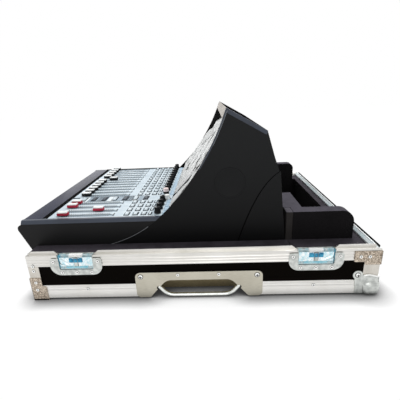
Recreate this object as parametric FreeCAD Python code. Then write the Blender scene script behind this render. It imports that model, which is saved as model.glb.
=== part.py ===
"""Live-sound control desk standing in the open base tray of its flight case.

Frame: +X is the operator's right, +Y the back, +Z up, in millimetres.  The origin is on the
ground under the middle of the whole thing, from the desk's nose to the rear ball corners.
The desk is two cheeks with a palm rest, a level control panel, a swept-back display wall,
a hood and a rear panel between them.  The tray is plywood in aluminium extrusions, lined
with foam, and open along the operator's side, where the desk's nose overhangs a low sill.
"""
import FreeCAD, Part
import math
import os

V = FreeCAD.Vector

# ---------------------------------------------------------------- desk: driving sizes
DESK_DEPTH = 569.0
DESK_HEIGHT = 324.0
FOOT_HEIGHT = 8.0
PANEL_HEIGHT = 111.4         # control surface above the desk's feet
NOSE_RAKE = 10.0             # palm rest's front edge behind the nose
NOSE_TOP_DROP = 13.0
NOSE_FACE = 8.0
FRONT_UNDERCUT = 36.5        # bottom front corner behind the nose
HORN_START = 305.0           # foot of the horn behind the nose, at panel level
HORN_TIP = 446.6
HORN_RADIUS = 515.0
CROWN_RUN = 78.7
CROWN_DROP = 45.3
KNEE_HEIGHT = 196.4          # bend of the rear face above the feet
KNEE_INSET = 19.0
CHEEK_THICKNESS = 12.0
CHAMFER_WIDTH = 5.0
CHAMFER_DROP = 7.6
SHELL = 3.0
PLATE = 2.0
SEAM = 0.2                   # fitting gap between neighbouring mouldings
PAST = 9.0                   # how far a cutter runs past what it cuts

# palm rest, panel and display wall
PALM_DEPTH = 51.0
GLASS_SETBACK = 17.0         # glass behind the cheeks' front edge
GLASS_THICKNESS = 4.0
GLASS_BOTTOM = 0.4
GLASS_SPLIT = 100.0          # seam between the two screens, right of the centre
HOUSING_THICKNESS = 8.0
LIP_HEIGHT = 20.0            # hood lip above the glass

# channel strips
STRIP_PITCH = 25.4
LEFT_STRIPS = 12
RIGHT_STRIPS = 4
LEFT_STRIP_MARGIN = 12.6     # panel edge to the outermost strip's middle
RIGHT_STRIP_MARGIN = 14.0
BANK_WIDTH = 61.4            # between the two bays' nearest strips

# faders
FADER_TRAVEL = 100.0
FADER_START = 91.0           # cap's middle behind the nose at the bottom of its travel
CAP_WIDTH = 11.5
CAP_LENGTH = 24.0
CAP_HEIGHT = 9.5
CAP_SKIRT = 4.7              # height of the upright ends
CAP_BEVEL = 3.4
CAP_DISH = 2.4               # half length of the flat finger rest
CAP_DISH_DEPTH = 2.3
CAP_GAP = 1.8
STEM_THICKNESS = 1.6
STEM_LENGTH = 7.0
STEM_DEPTH = 12.0
SLOT_WIDTH = 3.0
TRACK_WIDTH = 12.0
TRACK_HEIGHT = 30.0
TRACK_OVERRUN = 12.0

# rotary encoders
KNOB_RADIUS = 9.2
KNOB_HEIGHT = 13.0
KNOB_LIFT = 1.6
KNOB_POCKET = 1.0
KNOB_DISH = 6.4
SHAFT_RADIUS = 3.0
SHAFT_CLEARANCE = 0.08
SHAFT_DEPTH = 14.0
KNOB_ROW = 298.0             # behind the nose
GRIP_FLUTES = 12
FLUTE_RADIUS = 1.0

# keys
KEY_WIDTH = 15.0
KEY_DEPTH = 9.0
KEY_PROUD = 2.6
KEY_TRAVEL = 1.0
KEY_CLEARANCE = 0.3
KEY_SKIRT = 1.2
SELECT_ROW = 231.0
CUE_ROW = 250.0
ON_ROW = 268.0
BANK_KEYS = 7
BANK_FIRST = 96.0
BANK_PITCH = 26.0
BANK_KEY_WIDTH = 24.0

# inside and rear of the desk
BOARD_THICKNESS = 1.6
BOARD_WIDTH = 330.0
BOARD_DEPTH = 210.0
BOARD_FROM_NOSE = 262.0
STANDOFF_HEIGHT = 12.0
STANDOFF_RADIUS = 4.0
SUPPLY_WIDTH = 150.0
SUPPLY_DEPTH = 58.0
SUPPLY_HEIGHT = 46.0
SUPPLY_MARGIN = 14.0
SUPPLY_VENTS = 6
BOARD_CHIPS = 5
CHIP_SIDE = 20.0
CHIP_STAGGER = 32.0
SOCKET_COLUMNS = 8
SOCKET_ROWS = 2
SOCKET_PITCH = 33.0
SOCKET_ROW_PITCH = 40.0
SOCKET_LOW = 62.0            # lower row above the rear panel's foot
SOCKET_RADIUS = 11.6
SOCKET_CLEARANCE = 0.1
SOCKET_BODY = 16.0
SOCKET_FLANGE_WIDTH = 26.0
SOCKET_FLANGE_HEIGHT = 31.0
SOCKET_FLANGE = 1.6
PIN_HOLE = 1.3
PIN_CIRCLE = 4.6
FOOT_RADIUS = 14.0
FOOT_INSET = 34.0

# ---------------------------------------------------------------- tray: driving sizes
SIDE_ROOM = 60.0             # desk's side to the tray's outer face
REAR_ROOM = 164.0            # desk's rear foot to the tray's outer face
NOSE_OVERHANG = 43.0
TRAY_HEIGHT = 97.0
EDGE_CLEARANCE = 4.0         # extrusions above the ground
PLY = 9.0
METAL = 1.7
EDGE_FACE = 29.6
EDGE_LEG = 26.0
RAIL_FACE = 23.9
RAIL_WIDTH = 12.7
RAIL_INNER_LEG = 16.0
TONGUE_HEIGHT = 6.0
TONGUE_WIDTH = 3.4
TONGUE_SETBACK = 8.0
SIDE_POST = 22.0
REAR_POST = 30.0

# ball corners, braces and rivets
BALL_RADIUS = 17.0
BALL_PROUD = 7.0
EAR_LENGTH = 43.5
EAR_RISE = 50.0
LUG_FROM_REAR = 39.5
LUG_HEIGHT = 45.4            # round end of the ear, where its screw sits
LUG_RADIUS = 9.6
BRACE = 1.5
BRACE_ARM = 50.0
BRACE_WIDTH = 22.7
BRACE_HEEL = 29.0
BRACE_DROP = 4.0             # below the rail's ledge
FOOT_BRACE_HEIGHT = 52.0
FOOT_BRACE_WIDTH = 30.0
RIVET_RADIUS = 3.1
RIVET_HEAD = 1.1
RIVET_EDGE = 6.0
EDGE_RIVETS = 453.0
EDGE_RIVET_RISE = 20.3       # above the extrusions' underside
FRONT_RIVETS = (78.5, 68.0, 42.3, 25.2)      # heights on the front post
SCREW_RADIUS = 4.6
SCREW_HEAD = 2.4

# latches
LATCH_FROM_FRONT = 100.0
LATCH_FROM_REAR = 121.5
LATCH_WIDTH = 104.0
LATCH_DROP = 42.5            # plate below the rail's ledge
LATCH_CORNER = 22.0
LATCH_RIVET_REACH = 44.5
LATCH_RIVET_PITCH = 30.0
LATCH_RIVET_DROP = 12.5
DISH_WIDTH = 70.0
DISH_DROP = 29.0
DISH_METAL = 1.2
NOTCH_SLOPE = 8.0
HUB_WIDTH = 7.0
HUB_HEIGHT = 18.0
WING_LENGTH = 27.0
WING_HEIGHT = 19.0
WING_THICKNESS = 2.2
WING_BARREL = 1.9
WING_GAP = 0.3

# pull-out handle
HANDLE_SHIFT = -4.0          # its middle from the tray's middle
HANDLE_WIDTH = 253.0
HANDLE_TOP = 60.0
HANDLE_FOOT = 3.0
HANDLE_CORNER = 9.0
HANDLE_RIVETS = 81.0
HANDLE_SCREWS = 231.0
MOUTH_TOP = 42.0
MOUTH_TOP_WIDTH = 122.0
MOUTH_FOOT_WIDTH = 197.0
RECESS_DEPTH = 31.0
BAR_RADIUS = 4.0
BAR_LOW = 4.6
BAR_STRAIGHT = 120.0
BAR_SPREAD = 161.0
BAR_RISE = 19.6
BAR_SETBACK = 4.2
BAR_FIT = 0.08
BAR_NOTCH = 0.6
ROD_LENGTH = 430.0
TUBE_WALL = 1.5
TUBE_LENGTH = 410.0

# wheels
WHEEL_RADIUS = 24.0
WHEEL_WIDTH = 22.0
WHEEL_LIFT = 2.0
WHEEL_PROUD = 5.5
WHEEL_SPREAD = 440.0
AXLE_RADIUS = 4.0
AXLE_FIT = 0.08
WELL_GAP = 3.0
WELL_METAL = 1.2

# foam
FOAM_TOP = 91.0              # lining above the extrusions' underside
FOAM_GAP = 0.3
FOAM_PROUD = 9.0             # side strips in front of the tray's front end
PAD_THICKNESS = 25.9         # under the desk's feet
LINING = 17.0
BLOCK_TOP = 152.0
BLOCK_REACH = 129.0
BLOCK_LEG = 34.0
BLOCK_ARM = 29.5
BLOCK_ROUND = 35.0
BLOCK_BEHIND = 11.5          # behind the desk's foot
BLOCK_TO_LINING = 0.5
FAR_BLOCK_SHIFT = 10.0       # left block, further to the front

# ---------------------------------------------------------------- derived places
case_length = DESK_DEPTH - NOSE_OVERHANG + REAR_ROOM
overall = NOSE_OVERHANG + case_length + BALL_PROUD
nose_y = -overall / 2
case_front = nose_y + NOSE_OVERHANG
case_rear = case_front + case_length
case_mid = (case_front + case_rear) / 2
panel_width = RIGHT_STRIP_MARGIN + LEFT_STRIP_MARGIN + BANK_WIDTH
panel_width += (RIGHT_STRIPS + LEFT_STRIPS - 2) * STRIP_PITCH
moulding_side = panel_width / 2
inner_side = moulding_side + SEAM
desk_side = inner_side + CHEEK_THICKNESS
case_x = desk_side + SIDE_ROOM
edge_z = EDGE_CLEARANCE
ledge_z = edge_z + TRAY_HEIGHT
wall_out = case_x - METAL
wall_in = wall_out - PLY
floor_under = edge_z + METAL
floor_top = floor_under + PLY
foam_z = edge_z + FOAM_TOP
block_z = edge_z + BLOCK_TOP

handle_mid = case_mid + HANDLE_SHIFT
recess_x = case_x - RECESS_DEPTH
bar_x = case_x - BAR_SETBACK
rod_z = BAR_LOW + BAR_RISE

desk_z = floor_top + PAD_THICKNESS
shell_z = desk_z + FOOT_HEIGHT
panel_z = desk_z + PANEL_HEIGHT
panel_under = panel_z - SHELL
tip = (nose_y + HORN_TIP, desk_z + DESK_HEIGHT)
crown = (tip[0] + CROWN_RUN, tip[1] - CROWN_DROP)
rear_foot = (nose_y + DESK_DEPTH, shell_z)
knee = (rear_foot[0] - KNEE_INSET, desk_z + KNEE_HEIGHT)
horn_foot = (nose_y + HORN_START, panel_z)
front_foot = (nose_y + FRONT_UNDERCUT, shell_z)
nose_top = (nose_y, panel_z - NOSE_TOP_DROP)
nose_low = (nose_y, nose_top[1] - NOSE_FACE)
palm_edge = (nose_y + NOSE_RAKE, panel_z)
palm_rear = nose_y + PALM_DEPTH

wheel_x = -(case_x + WHEEL_PROUD - WHEEL_RADIUS)
wheel_z = WHEEL_LIFT + WHEEL_RADIUS


def arc_centre(start, end, radius):
    """Centre of the arc from start to end that lies up and to the front of the chord."""
    run = end[0] - start[0]
    rise = end[1] - start[1]
    chord = math.hypot(run, rise)
    reach = math.sqrt(radius ** 2 - (chord / 2) ** 2)
    middle = ((start[0] + end[0]) / 2, (start[1] + end[1]) / 2)
    return (middle[0] - reach * rise / chord, middle[1] + reach * run / chord)


horn_centre = arc_centre(horn_foot, tip, HORN_RADIUS)
glass_centre = (horn_centre[0] + GLASS_SETBACK, horn_centre[1])
lip_z = tip[1] - LIP_HEIGHT


def on_arc(centre, radius, z):
    """Point of a circle in the YZ plane at height z, on its rear side."""
    return (centre[0] + math.sqrt(radius ** 2 - (centre[1] - z) ** 2), z)


panel_rear = on_arc(glass_centre, HORN_RADIUS, panel_z)[0] - SEAM

right_strips = [moulding_side - RIGHT_STRIP_MARGIN - STRIP_PITCH * n for n in range(RIGHT_STRIPS)]
left_strips = [right_strips[-1] - BANK_WIDTH - STRIP_PITCH * n for n in range(LEFT_STRIPS)]
strips = left_strips[::-1] + right_strips[::-1]
bank_x = right_strips[-1] - BANK_WIDTH / 2
fader_low = nose_y + FADER_START
fader_rest = [0.0] * len(strips)
fader_rest[-2] = 0.70 * FADER_TRAVEL
fader_rest[5] = 0.26 * FADER_TRAVEL


# ---------------------------------------------------------------- small builders
def box(x0, x1, y0, y1, z0, z1):
    return Part.makeBox(x1 - x0, y1 - y0, z1 - z0, V(x0, y0, z0))


def rod(start, direction, radius, length):
    return Part.makeCylinder(radius, length, V(*start), V(*direction))


def prism(outline, x0, x1):
    """Polygon of (y, z) points swept along X."""
    points = [V(x0, y, z) for y, z in outline]
    face = Part.Face(Part.makePolygon(points + points[:1]))
    return face.extrude(V(x1 - x0, 0, 0))


def union(shapes):
    joined = shapes[0]
    for shape in shapes[1:]:
        joined = joined.fuse(shape)
    return joined.removeSplitter()


def without(shape, cutters):
    for cutter in cutters:
        shape = shape.cut(cutter)
    return shape


def mirrored(shape):
    """The same piece on the operator's left."""
    return shape.mirror(V(0, 0, 0), V(1, 0, 0))


def save(node, shapes):
    solids = []
    for shape in shapes:
        solids += shape.Solids
    result = solids[0] if len(solids) == 1 else Part.makeCompound(solids)
    result.exportStep("parts/" + node + ".step")


# ---------------------------------------------------------------- desk shell
def side_outline(x0, x1):
    """Whole side silhouette of the desk swept along X, with its arc at the horn."""
    def at(point):
        return V(x0, point[0], point[1])

    chord_turn = math.atan2(tip[1] - horn_foot[1], tip[0] - horn_foot[0])
    middle_y = horn_centre[0] + HORN_RADIUS * math.sin(chord_turn)
    middle_z = horn_centre[1] - HORN_RADIUS * math.cos(chord_turn)
    arc = Part.Arc(at(horn_foot), at((middle_y, middle_z)), at(tip)).toShape()
    straight = [tip, crown, knee, rear_foot, front_foot, nose_low, nose_top, palm_edge, horn_foot]
    lines = [Part.makeLine(at(a), at(b)) for a, b in zip(straight, straight[1:])]
    face = Part.Face(Part.Wire([arc] + lines))
    return face.extrude(V(x1 - x0, 0, 0))


def edge_wedge(start, end, side):
    """Cutter for the sloping chamfer along one outer top edge, from start to end in (y, z)."""
    run = end[0] - start[0]
    rise = end[1] - start[1]
    length = math.hypot(run, rise)
    up = V(0, -rise / length, run / length)
    corner = V(side, start[0], start[1])
    inner = corner + V(-CHAMFER_WIDTH, 0, 0)
    lower = corner - up * CHAMFER_DROP
    slope = lower - inner
    ring = [inner - slope, lower + slope, corner + V(CHAMFER_WIDTH * 2, 0, 0) + up * CHAMFER_DROP]
    face = Part.Face(Part.makePolygon(ring + ring[:1]))
    return face.extrude(V(0, run, rise))


def cheek():
    plate = side_outline(inner_side, desk_side)
    level = edge_wedge((nose_y, panel_z), horn_foot, desk_side)
    top = edge_wedge(tip, (crown[0] + CROWN_RUN, crown[1] - CROWN_DROP), desk_side)
    return without(plate, [level, top])


def palm_rest():
    rear = palm_rear - SEAM
    outer = [(rear, panel_z), palm_edge, nose_top, nose_low, front_foot, (rear, shell_z)]
    inner = [(rear + SHELL, panel_z - SHELL), (palm_edge[0] + SHELL / 2, panel_z - SHELL)]
    inner.append((nose_top[0] + SHELL, nose_top[1] - SHELL / 2))
    inner.append((nose_low[0] + SHELL, nose_low[1] + SHELL / 4))
    inner.append((front_foot[0] + SHELL, shell_z - SHELL))
    inner.append((rear + SHELL, shell_z - SHELL))
    hollow = prism(inner, -desk_side, desk_side)
    return prism(outer, -moulding_side, moulding_side).cut(hollow)


def knob_hole(x):
    start = (x, nose_y + KNOB_ROW, panel_under - PAST)
    return rod(start, (0, 0, 1), SHAFT_RADIUS + SHAFT_CLEARANCE, SHELL + 2 * PAST)


def key_hole(x, y, width, depth):
    half_w = width / 2 + KEY_CLEARANCE
    half_d = depth / 2 + KEY_CLEARANCE
    return box(x - half_w, x + half_w, y - half_d, y + half_d, panel_under - PAST, panel_z + PAST)


def fader_slot(x, low_z, high_z):
    half = SLOT_WIDTH / 2
    end = STEM_LENGTH / 2 + half
    return box(x - half, x + half, fader_low - end, fader_low + FADER_TRAVEL + end, low_z, high_z)


def row_keys(row):
    """Places and sizes of the keys in one row across both bays."""
    return [(x, nose_y + row, KEY_WIDTH, KEY_DEPTH) for x in strips]


def bank_column():
    rows = [nose_y + BANK_FIRST + BANK_PITCH * n for n in range(BANK_KEYS)]
    return [(bank_x, y, BANK_KEY_WIDTH, KEY_DEPTH) for y in rows]


def control_panel():
    plate = box(-moulding_side, moulding_side, palm_rear, panel_rear, panel_under, panel_z)
    cutters = [fader_slot(x, panel_under - PAST, panel_z + PAST) for x in strips]
    cutters += [knob_hole(x) for x in strips]
    for place in row_keys(SELECT_ROW) + row_keys(CUE_ROW) + row_keys(ON_ROW) + bank_column():
        cutters.append(key_hole(*place))
    return plate.cut(Part.makeCompound(cutters))


def curved_band(radius, thickness, low_z, high_z, x0, x1):
    """Slice of the display wall between two radii and two heights."""
    def arc(r, z0, z1):
        ends = [on_arc(glass_centre, r, z) for z in (z0, (z0 + z1) / 2, z1)]
        return Part.Arc(*[V(x0, y, z) for y, z in ends]).toShape(), ends

    front, front_ends = arc(radius, low_z, high_z)
    back, back_ends = arc(radius + thickness, low_z, high_z)
    foot = Part.makeLine(V(x0, *front_ends[0]), V(x0, *back_ends[0]))
    head = Part.makeLine(V(x0, *front_ends[-1]), V(x0, *back_ends[-1]))
    face = Part.Face(Part.Wire([front, head, back, foot]))
    return face.extrude(V(x1 - x0, 0, 0))


def screen(x0, x1):
    return curved_band(HORN_RADIUS, GLASS_THICKNESS, panel_z + GLASS_BOTTOM, lip_z - SEAM, x0, x1)


def display_housing():
    radius = HORN_RADIUS + GLASS_THICKNESS
    top = lip_z - SEAM
    return curved_band(radius, HOUSING_THICKNESS, panel_under, top, -moulding_side, moulding_side)


def hood():
    """Sloping top cover with the deep lip that shades the glass."""
    slope = math.atan2(CROWN_DROP, CROWN_RUN)
    inward = (-SHELL * math.sin(slope), -SHELL * math.cos(slope))
    back = (crown[0] + inward[0], crown[1] + inward[1])
    front = (tip[0] + inward[0], tip[1] + inward[1])
    top = prism([tip, crown, back, front], -moulding_side, moulding_side)
    lip_rear = on_arc(glass_centre, HORN_RADIUS + GLASS_THICKNESS, lip_z)[0]
    lip_cap = tip[1] - math.tan(slope) * (lip_rear - tip[0]) - SHELL / 2
    fore = tip[0] - LIP_HEIGHT
    lip = [(fore, lip_z), (lip_rear, lip_z), (lip_rear, lip_cap), (fore, tip[1])]
    bar = prism(lip, -moulding_side, moulding_side)
    return union([top, bar]).common(side_outline(-moulding_side, moulding_side))


def rear_direction():
    """Unit vector down the lower rear face, and its outward normal, both in (y, z)."""
    run = rear_foot[0] - knee[0]
    fall = rear_foot[1] - knee[1]
    length = math.hypot(run, fall)
    return (run / length, fall / length), (-fall / length, run / length)


def socket_places():
    """Middles of the rear sockets on the outer face, as (x, y, z)."""
    down, _ = rear_direction()
    places = []
    for row in range(SOCKET_ROWS):
        climb = SOCKET_LOW + SOCKET_ROW_PITCH * row
        for column in range(SOCKET_COLUMNS):
            x = (column - (SOCKET_COLUMNS - 1) / 2) * SOCKET_PITCH
            places.append((x, rear_foot[0] - down[0] * climb, rear_foot[1] - down[1] * climb))
    return places


def rear_panel():
    share = (SHELL + SEAM) / (crown[1] - knee[1])
    top = (crown[0] + (knee[0] - crown[0]) * share, crown[1] - SHELL - SEAM)
    ring = [top, knee, rear_foot]
    ring += [(y - PLATE, z) for y, z in ring[::-1]]
    panel = prism(ring, -moulding_side, moulding_side)
    _, out = rear_direction()
    cutters = []
    for x, y, z in socket_places():
        start = (x, y - out[0] * PLATE * 3, z - out[1] * PLATE * 3)
        cutters.append(rod(start, (0, out[0], out[1]), SOCKET_RADIUS + SOCKET_CLEARANCE, PLATE * 6))
    return without(panel, cutters)


def xlr_socket(place):
    """Panel socket with three pin holes: flange outside, barrel inside."""
    _, out = rear_direction()
    frame = FreeCAD.Placement(V(*place), FreeCAD.Rotation(V(0, 0, 1), V(0, out[0], out[1])))
    flange = Part.makeBox(SOCKET_FLANGE_WIDTH, SOCKET_FLANGE_HEIGHT, SOCKET_FLANGE)
    flange.translate(V(-SOCKET_FLANGE_WIDTH / 2, -SOCKET_FLANGE_HEIGHT / 2, 0))
    barrel = Part.makeCylinder(SOCKET_RADIUS, SOCKET_BODY, V(0, 0, -SOCKET_BODY))
    body = union([flange, barrel])
    pins = []
    for turn in (210, 330, 90):
        angle = math.radians(turn)
        spot = V(PIN_CIRCLE * math.cos(angle), PIN_CIRCLE * math.sin(angle), -SOCKET_BODY / 2)
        pins.append(Part.makeCylinder(PIN_HOLE, SOCKET_BODY, spot))
    body = without(body, pins)
    body.Placement = frame
    return body


def foot_places():
    x = desk_side - FOOT_INSET
    rows = (front_foot[0] + FOOT_INSET, rear_foot[0] - FOOT_INSET)
    return [(side * x, y) for side in (1, -1) for y in rows]


def standoff_places():
    x = BOARD_WIDTH / 2 - STANDOFF_RADIUS * 2
    front = nose_y + BOARD_FROM_NOSE + STANDOFF_RADIUS * 2
    rear = nose_y + BOARD_FROM_NOSE + BOARD_DEPTH - STANDOFF_RADIUS * 2
    return [(side * x, y) for side in (1, -1) for y in (front, rear)]


def base_pan():
    front = front_foot[0] + SHELL + SEAM
    rear = rear_foot[0] - PLATE - SEAM
    plate = box(-moulding_side, moulding_side, front, rear, shell_z, shell_z + PLATE)
    height = PLATE + STANDOFF_HEIGHT
    pillars = [rod((x, y, shell_z), (0, 0, 1), STANDOFF_RADIUS, height) for x, y in standoff_places()]
    return union([plate] + pillars)


def main_board():
    z = shell_z + PLATE + STANDOFF_HEIGHT
    y = nose_y + BOARD_FROM_NOSE
    board = box(-BOARD_WIDTH / 2, BOARD_WIDTH / 2, y, y + BOARD_DEPTH, z, z + BOARD_THICKNESS)
    half = CHIP_SIDE / 2
    top = z + BOARD_THICKNESS + PLATE
    chips = []
    for n in range(BOARD_CHIPS):
        x = BOARD_WIDTH * ((n + 1) / (BOARD_CHIPS + 1) - 0.5)
        middle = y + BOARD_DEPTH / 2 + CHIP_STAGGER * (n % 2 * 2 - 1)
        chips.append(box(x - half, x + half, middle - half, middle + half, z, top))
    return union([board] + chips)


def power_supply():
    rear = rear_foot[0] - PLATE - SUPPLY_MARGIN
    right = moulding_side - SUPPLY_MARGIN
    low = shell_z + PLATE
    can = box(right - SUPPLY_WIDTH, right, rear - SUPPLY_DEPTH, rear, low, low + SUPPLY_HEIGHT)
    top = low + SUPPLY_HEIGHT
    middle = rear - SUPPLY_DEPTH / 2
    half = SUPPLY_DEPTH / 4
    vents = []
    for n in range(SUPPLY_VENTS):
        x = right - SUPPLY_WIDTH * (n + 1) / (SUPPLY_VENTS + 1)
        vents.append(box(x - PLATE, x + PLATE, middle - half, middle + half, top - PLATE, top))
    return without(can, vents)


# ---------------------------------------------------------------- moving pieces of the desk
def fader_track(x):
    low = fader_low - TRACK_OVERRUN
    high = fader_low + FADER_TRAVEL + TRACK_OVERRUN
    half = TRACK_WIDTH / 2
    body = box(x - half, x + half, low, high, panel_under - TRACK_HEIGHT, panel_under)
    return body.cut(fader_slot(x, panel_under - STEM_DEPTH, panel_under))


def fader_cap(x, rest):
    """Cap with a dished finger rest, on the flat stem that goes down through the slot."""
    y = fader_low + rest
    z = panel_z + CAP_GAP
    half = CAP_LENGTH / 2
    crest = z + CAP_HEIGHT
    fore = [(y - half, z), (y - half, z + CAP_SKIRT), (y - half + CAP_BEVEL, crest)]
    fore.append((y - CAP_DISH, crest - CAP_DISH_DEPTH))
    side = fore + [(2 * y - place, height) for place, height in fore[::-1]]
    cap = prism(side, x - CAP_WIDTH / 2, x + CAP_WIDTH / 2)
    half_x = STEM_THICKNESS / 2
    half_y = STEM_LENGTH / 2
    stem_low = panel_under - STEM_DEPTH + CAP_GAP
    stem = box(x - half_x, x + half_x, y - half_y, y + half_y, stem_low, z)
    return union([cap, stem])


def knob(x):
    """Fluted knob on its shaft."""
    y = nose_y + KNOB_ROW
    z = panel_z + KNOB_LIFT
    body = rod((x, y, z), (0, 0, 1), KNOB_RADIUS, KNOB_HEIGHT)
    flutes = []
    for n in range(GRIP_FLUTES):
        angle = math.tau * n / GRIP_FLUTES
        spot = (x + KNOB_RADIUS * math.cos(angle), y + KNOB_RADIUS * math.sin(angle), z + CAP_GAP)
        flutes.append(rod(spot, (0, 0, 1), FLUTE_RADIUS, KNOB_HEIGHT))
    shaft = rod((x, y, z - SHAFT_DEPTH), (0, 0, 1), SHAFT_RADIUS, SHAFT_DEPTH + KNOB_LIFT)
    dimple = rod((x, y, z + KNOB_HEIGHT - KNOB_POCKET), (0, 0, 1), KNOB_DISH, KNOB_POCKET)
    return union([without(body, flutes), shaft]).cut(dimple)


def key(x, y, width, depth):
    """Key through its hole, with a skirt under the panel that keeps it in."""
    skirt_top = panel_under - KEY_CLEARANCE
    low = skirt_top - KEY_SKIRT
    cap = box(x - width / 2, x + width / 2, y - depth / 2, y + depth / 2, low, panel_z + KEY_PROUD)
    half_w = width / 2 + KEY_SKIRT
    half_d = depth / 2 + KEY_SKIRT
    return union([cap, box(x - half_w, x + half_w, y - half_d, y + half_d, low, skirt_top)])


# ---------------------------------------------------------------- tray
def recess_box(margin):
    """Space of the handle's recess in the right wall, grown by a margin."""
    half = MOUTH_FOOT_WIDTH / 2 + margin
    high = MOUTH_TOP + margin
    return box(recess_x - margin, case_x + PAST, handle_mid - half, handle_mid + half, -PAST, high)


def wheel_places():
    return [case_mid + side * WHEEL_SPREAD / 2 for side in (-1, 1)]


def well_box(y, margin):
    """Space of one wheel's well in the left wall, grown by a margin."""
    half = WHEEL_WIDTH / 2 + WELL_GAP + margin
    deep = wheel_x + WHEEL_RADIUS + WELL_GAP + margin
    high = wheel_z + WHEEL_RADIUS + WELL_GAP + margin
    return box(-case_x - PAST, deep, y - half, y + half, -PAST, high)


def tray_gaps(margin):
    """Everything that the handle and the wheels need cut out of the tray."""
    return [recess_box(margin)] + [well_box(y, margin) for y in wheel_places()]


def latch_middles():
    return [case_front + LATCH_FROM_FRONT, case_rear - LATCH_FROM_REAR]


def latch_cut(y, margin):
    half = DISH_WIDTH / 2 + margin
    low = ledge_z - DISH_DROP - margin
    return box(wall_in - PAST, case_x + PAST, y - half, y + half, low, ledge_z + PAST)


def latch_cuts():
    return [latch_cut(y, DISH_METAL) for y in latch_middles()]


def tray_floor():
    plate = box(-wall_out, wall_out, case_front + METAL, case_rear - METAL, floor_under, floor_top)
    return without(plate, tray_gaps(WELL_METAL))


def tray_walls():
    top = ledge_z - METAL
    right = box(wall_in, wall_out, case_front + METAL, case_rear - METAL, floor_top, top)
    right = without(right, latch_cuts() + tray_gaps(WELL_METAL))
    left = box(-wall_out, -wall_in, case_front + METAL, case_rear - METAL, floor_top, top)
    left = without(left, tray_gaps(WELL_METAL))
    rear = box(-wall_in, wall_in, case_rear - METAL - PLY, case_rear - METAL, floor_top, top)
    return [right, left, rear]


def edge_section(side):
    """Angle section of a lower edge on the right side, as (x, z) points from the outer face."""
    foot = edge_z
    head = edge_z + EDGE_FACE
    return [(side, foot), (side, head), (side - METAL, head), (side - METAL, foot + METAL),
            (side - EDGE_LEG, foot + METAL), (side - EDGE_LEG, foot)]


def rail_section(side):
    """Lid rail section on the right side: face, ledge, tongue and the leg inside the wall."""
    low = ledge_z - RAIL_FACE
    inner = side - RAIL_WIDTH
    inner_low = ledge_z - RAIL_INNER_LEG
    tongue = side - TONGUE_SETBACK
    crest = ledge_z + TONGUE_HEIGHT
    return [(side, low), (side, ledge_z), (tongue, ledge_z), (tongue, crest),
            (tongue - TONGUE_WIDTH, crest), (tongue - TONGUE_WIDTH, ledge_z), (inner, ledge_z),
            (inner, inner_low), (wall_in, inner_low), (wall_in, ledge_z - METAL),
            (side - METAL, ledge_z - METAL), (side - METAL, low)]


def along_y(section, y0, y1):
    """Section of (x, z) points swept along Y."""
    points = [V(x, y0, z) for x, z in section]
    return Part.Face(Part.makePolygon(points + points[:1])).extrude(V(0, y1 - y0, 0))


def rear_run(section):
    """The same section along the rear edge: swept along Y, then turned to run along X."""
    bar = along_y(section, -case_x, case_x)
    bar.rotate(V(0, 0, 0), V(0, 0, 1), 90)
    bar.translate(V(0, case_rear - case_x, 0))
    return bar


def side_of_mitre():
    """Everything on the right of the 45 degree mitre plane through the right rear corner."""
    far = case_length
    ring = [(0, case_rear - case_x), (case_x + far, case_rear + far), (case_x + far, case_front - far)]
    ring.append((0, case_front - far))
    corners = [V(x, y, 0) for x, y in ring + ring[:1]]
    return Part.Face(Part.makePolygon(corners)).extrude(V(0, 0, ledge_z * 2))


def side_run(section):
    return along_y(section, case_front, case_rear).common(side_of_mitre())


def rear_mitred(section):
    keep_off = side_of_mitre()
    return without(rear_run(section), [keep_off, mirrored(keep_off)])


def base_edges():
    section = edge_section(case_x)
    right = without(side_run(section), tray_gaps(WELL_METAL))
    left = without(mirrored(side_run(section)), tray_gaps(WELL_METAL))
    rear = rear_mitred(section)
    low = edge_z + EDGE_FACE
    sill = box(-case_x + METAL, case_x - METAL, case_front, case_front + METAL, edge_z + METAL, low)
    return [right, left, rear, sill]


def lid_rails():
    section = rail_section(case_x)
    cuts = latch_cuts()
    crest = ledge_z + TONGUE_HEIGHT
    for y in latch_middles():
        half = DISH_WIDTH / 2 + DISH_METAL
        ramp = [(y - half, ledge_z), (y + half, ledge_z)]
        ramp += [(y + half + NOTCH_SLOPE, crest), (y - half - NOTCH_SLOPE, crest)]
        cuts.append(prism(ramp, case_x - RAIL_WIDTH - PAST, case_x + PAST))
    right = without(side_run(section), cuts)
    left = mirrored(side_run(section))
    return [right, left, rear_mitred(section)]


def corner_posts():
    """Upright angles: one over each rear corner, one over the front end of each side wall."""
    low = edge_z + EDGE_FACE
    high = ledge_z - RAIL_FACE
    rear = box(case_x - REAR_POST, case_x, case_rear - REAR_POST, case_rear, low, high)
    rear = rear.cut(box(0, case_x - METAL, 0, case_rear - METAL, low, high))
    front = box(case_x - SIDE_POST, case_x, case_front, case_front + SIDE_POST, low, high)
    front = front.cut(box(0, case_x - METAL, case_front + METAL, case_rear, low, high))
    return [rear, mirrored(rear), front, mirrored(front)]


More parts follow.
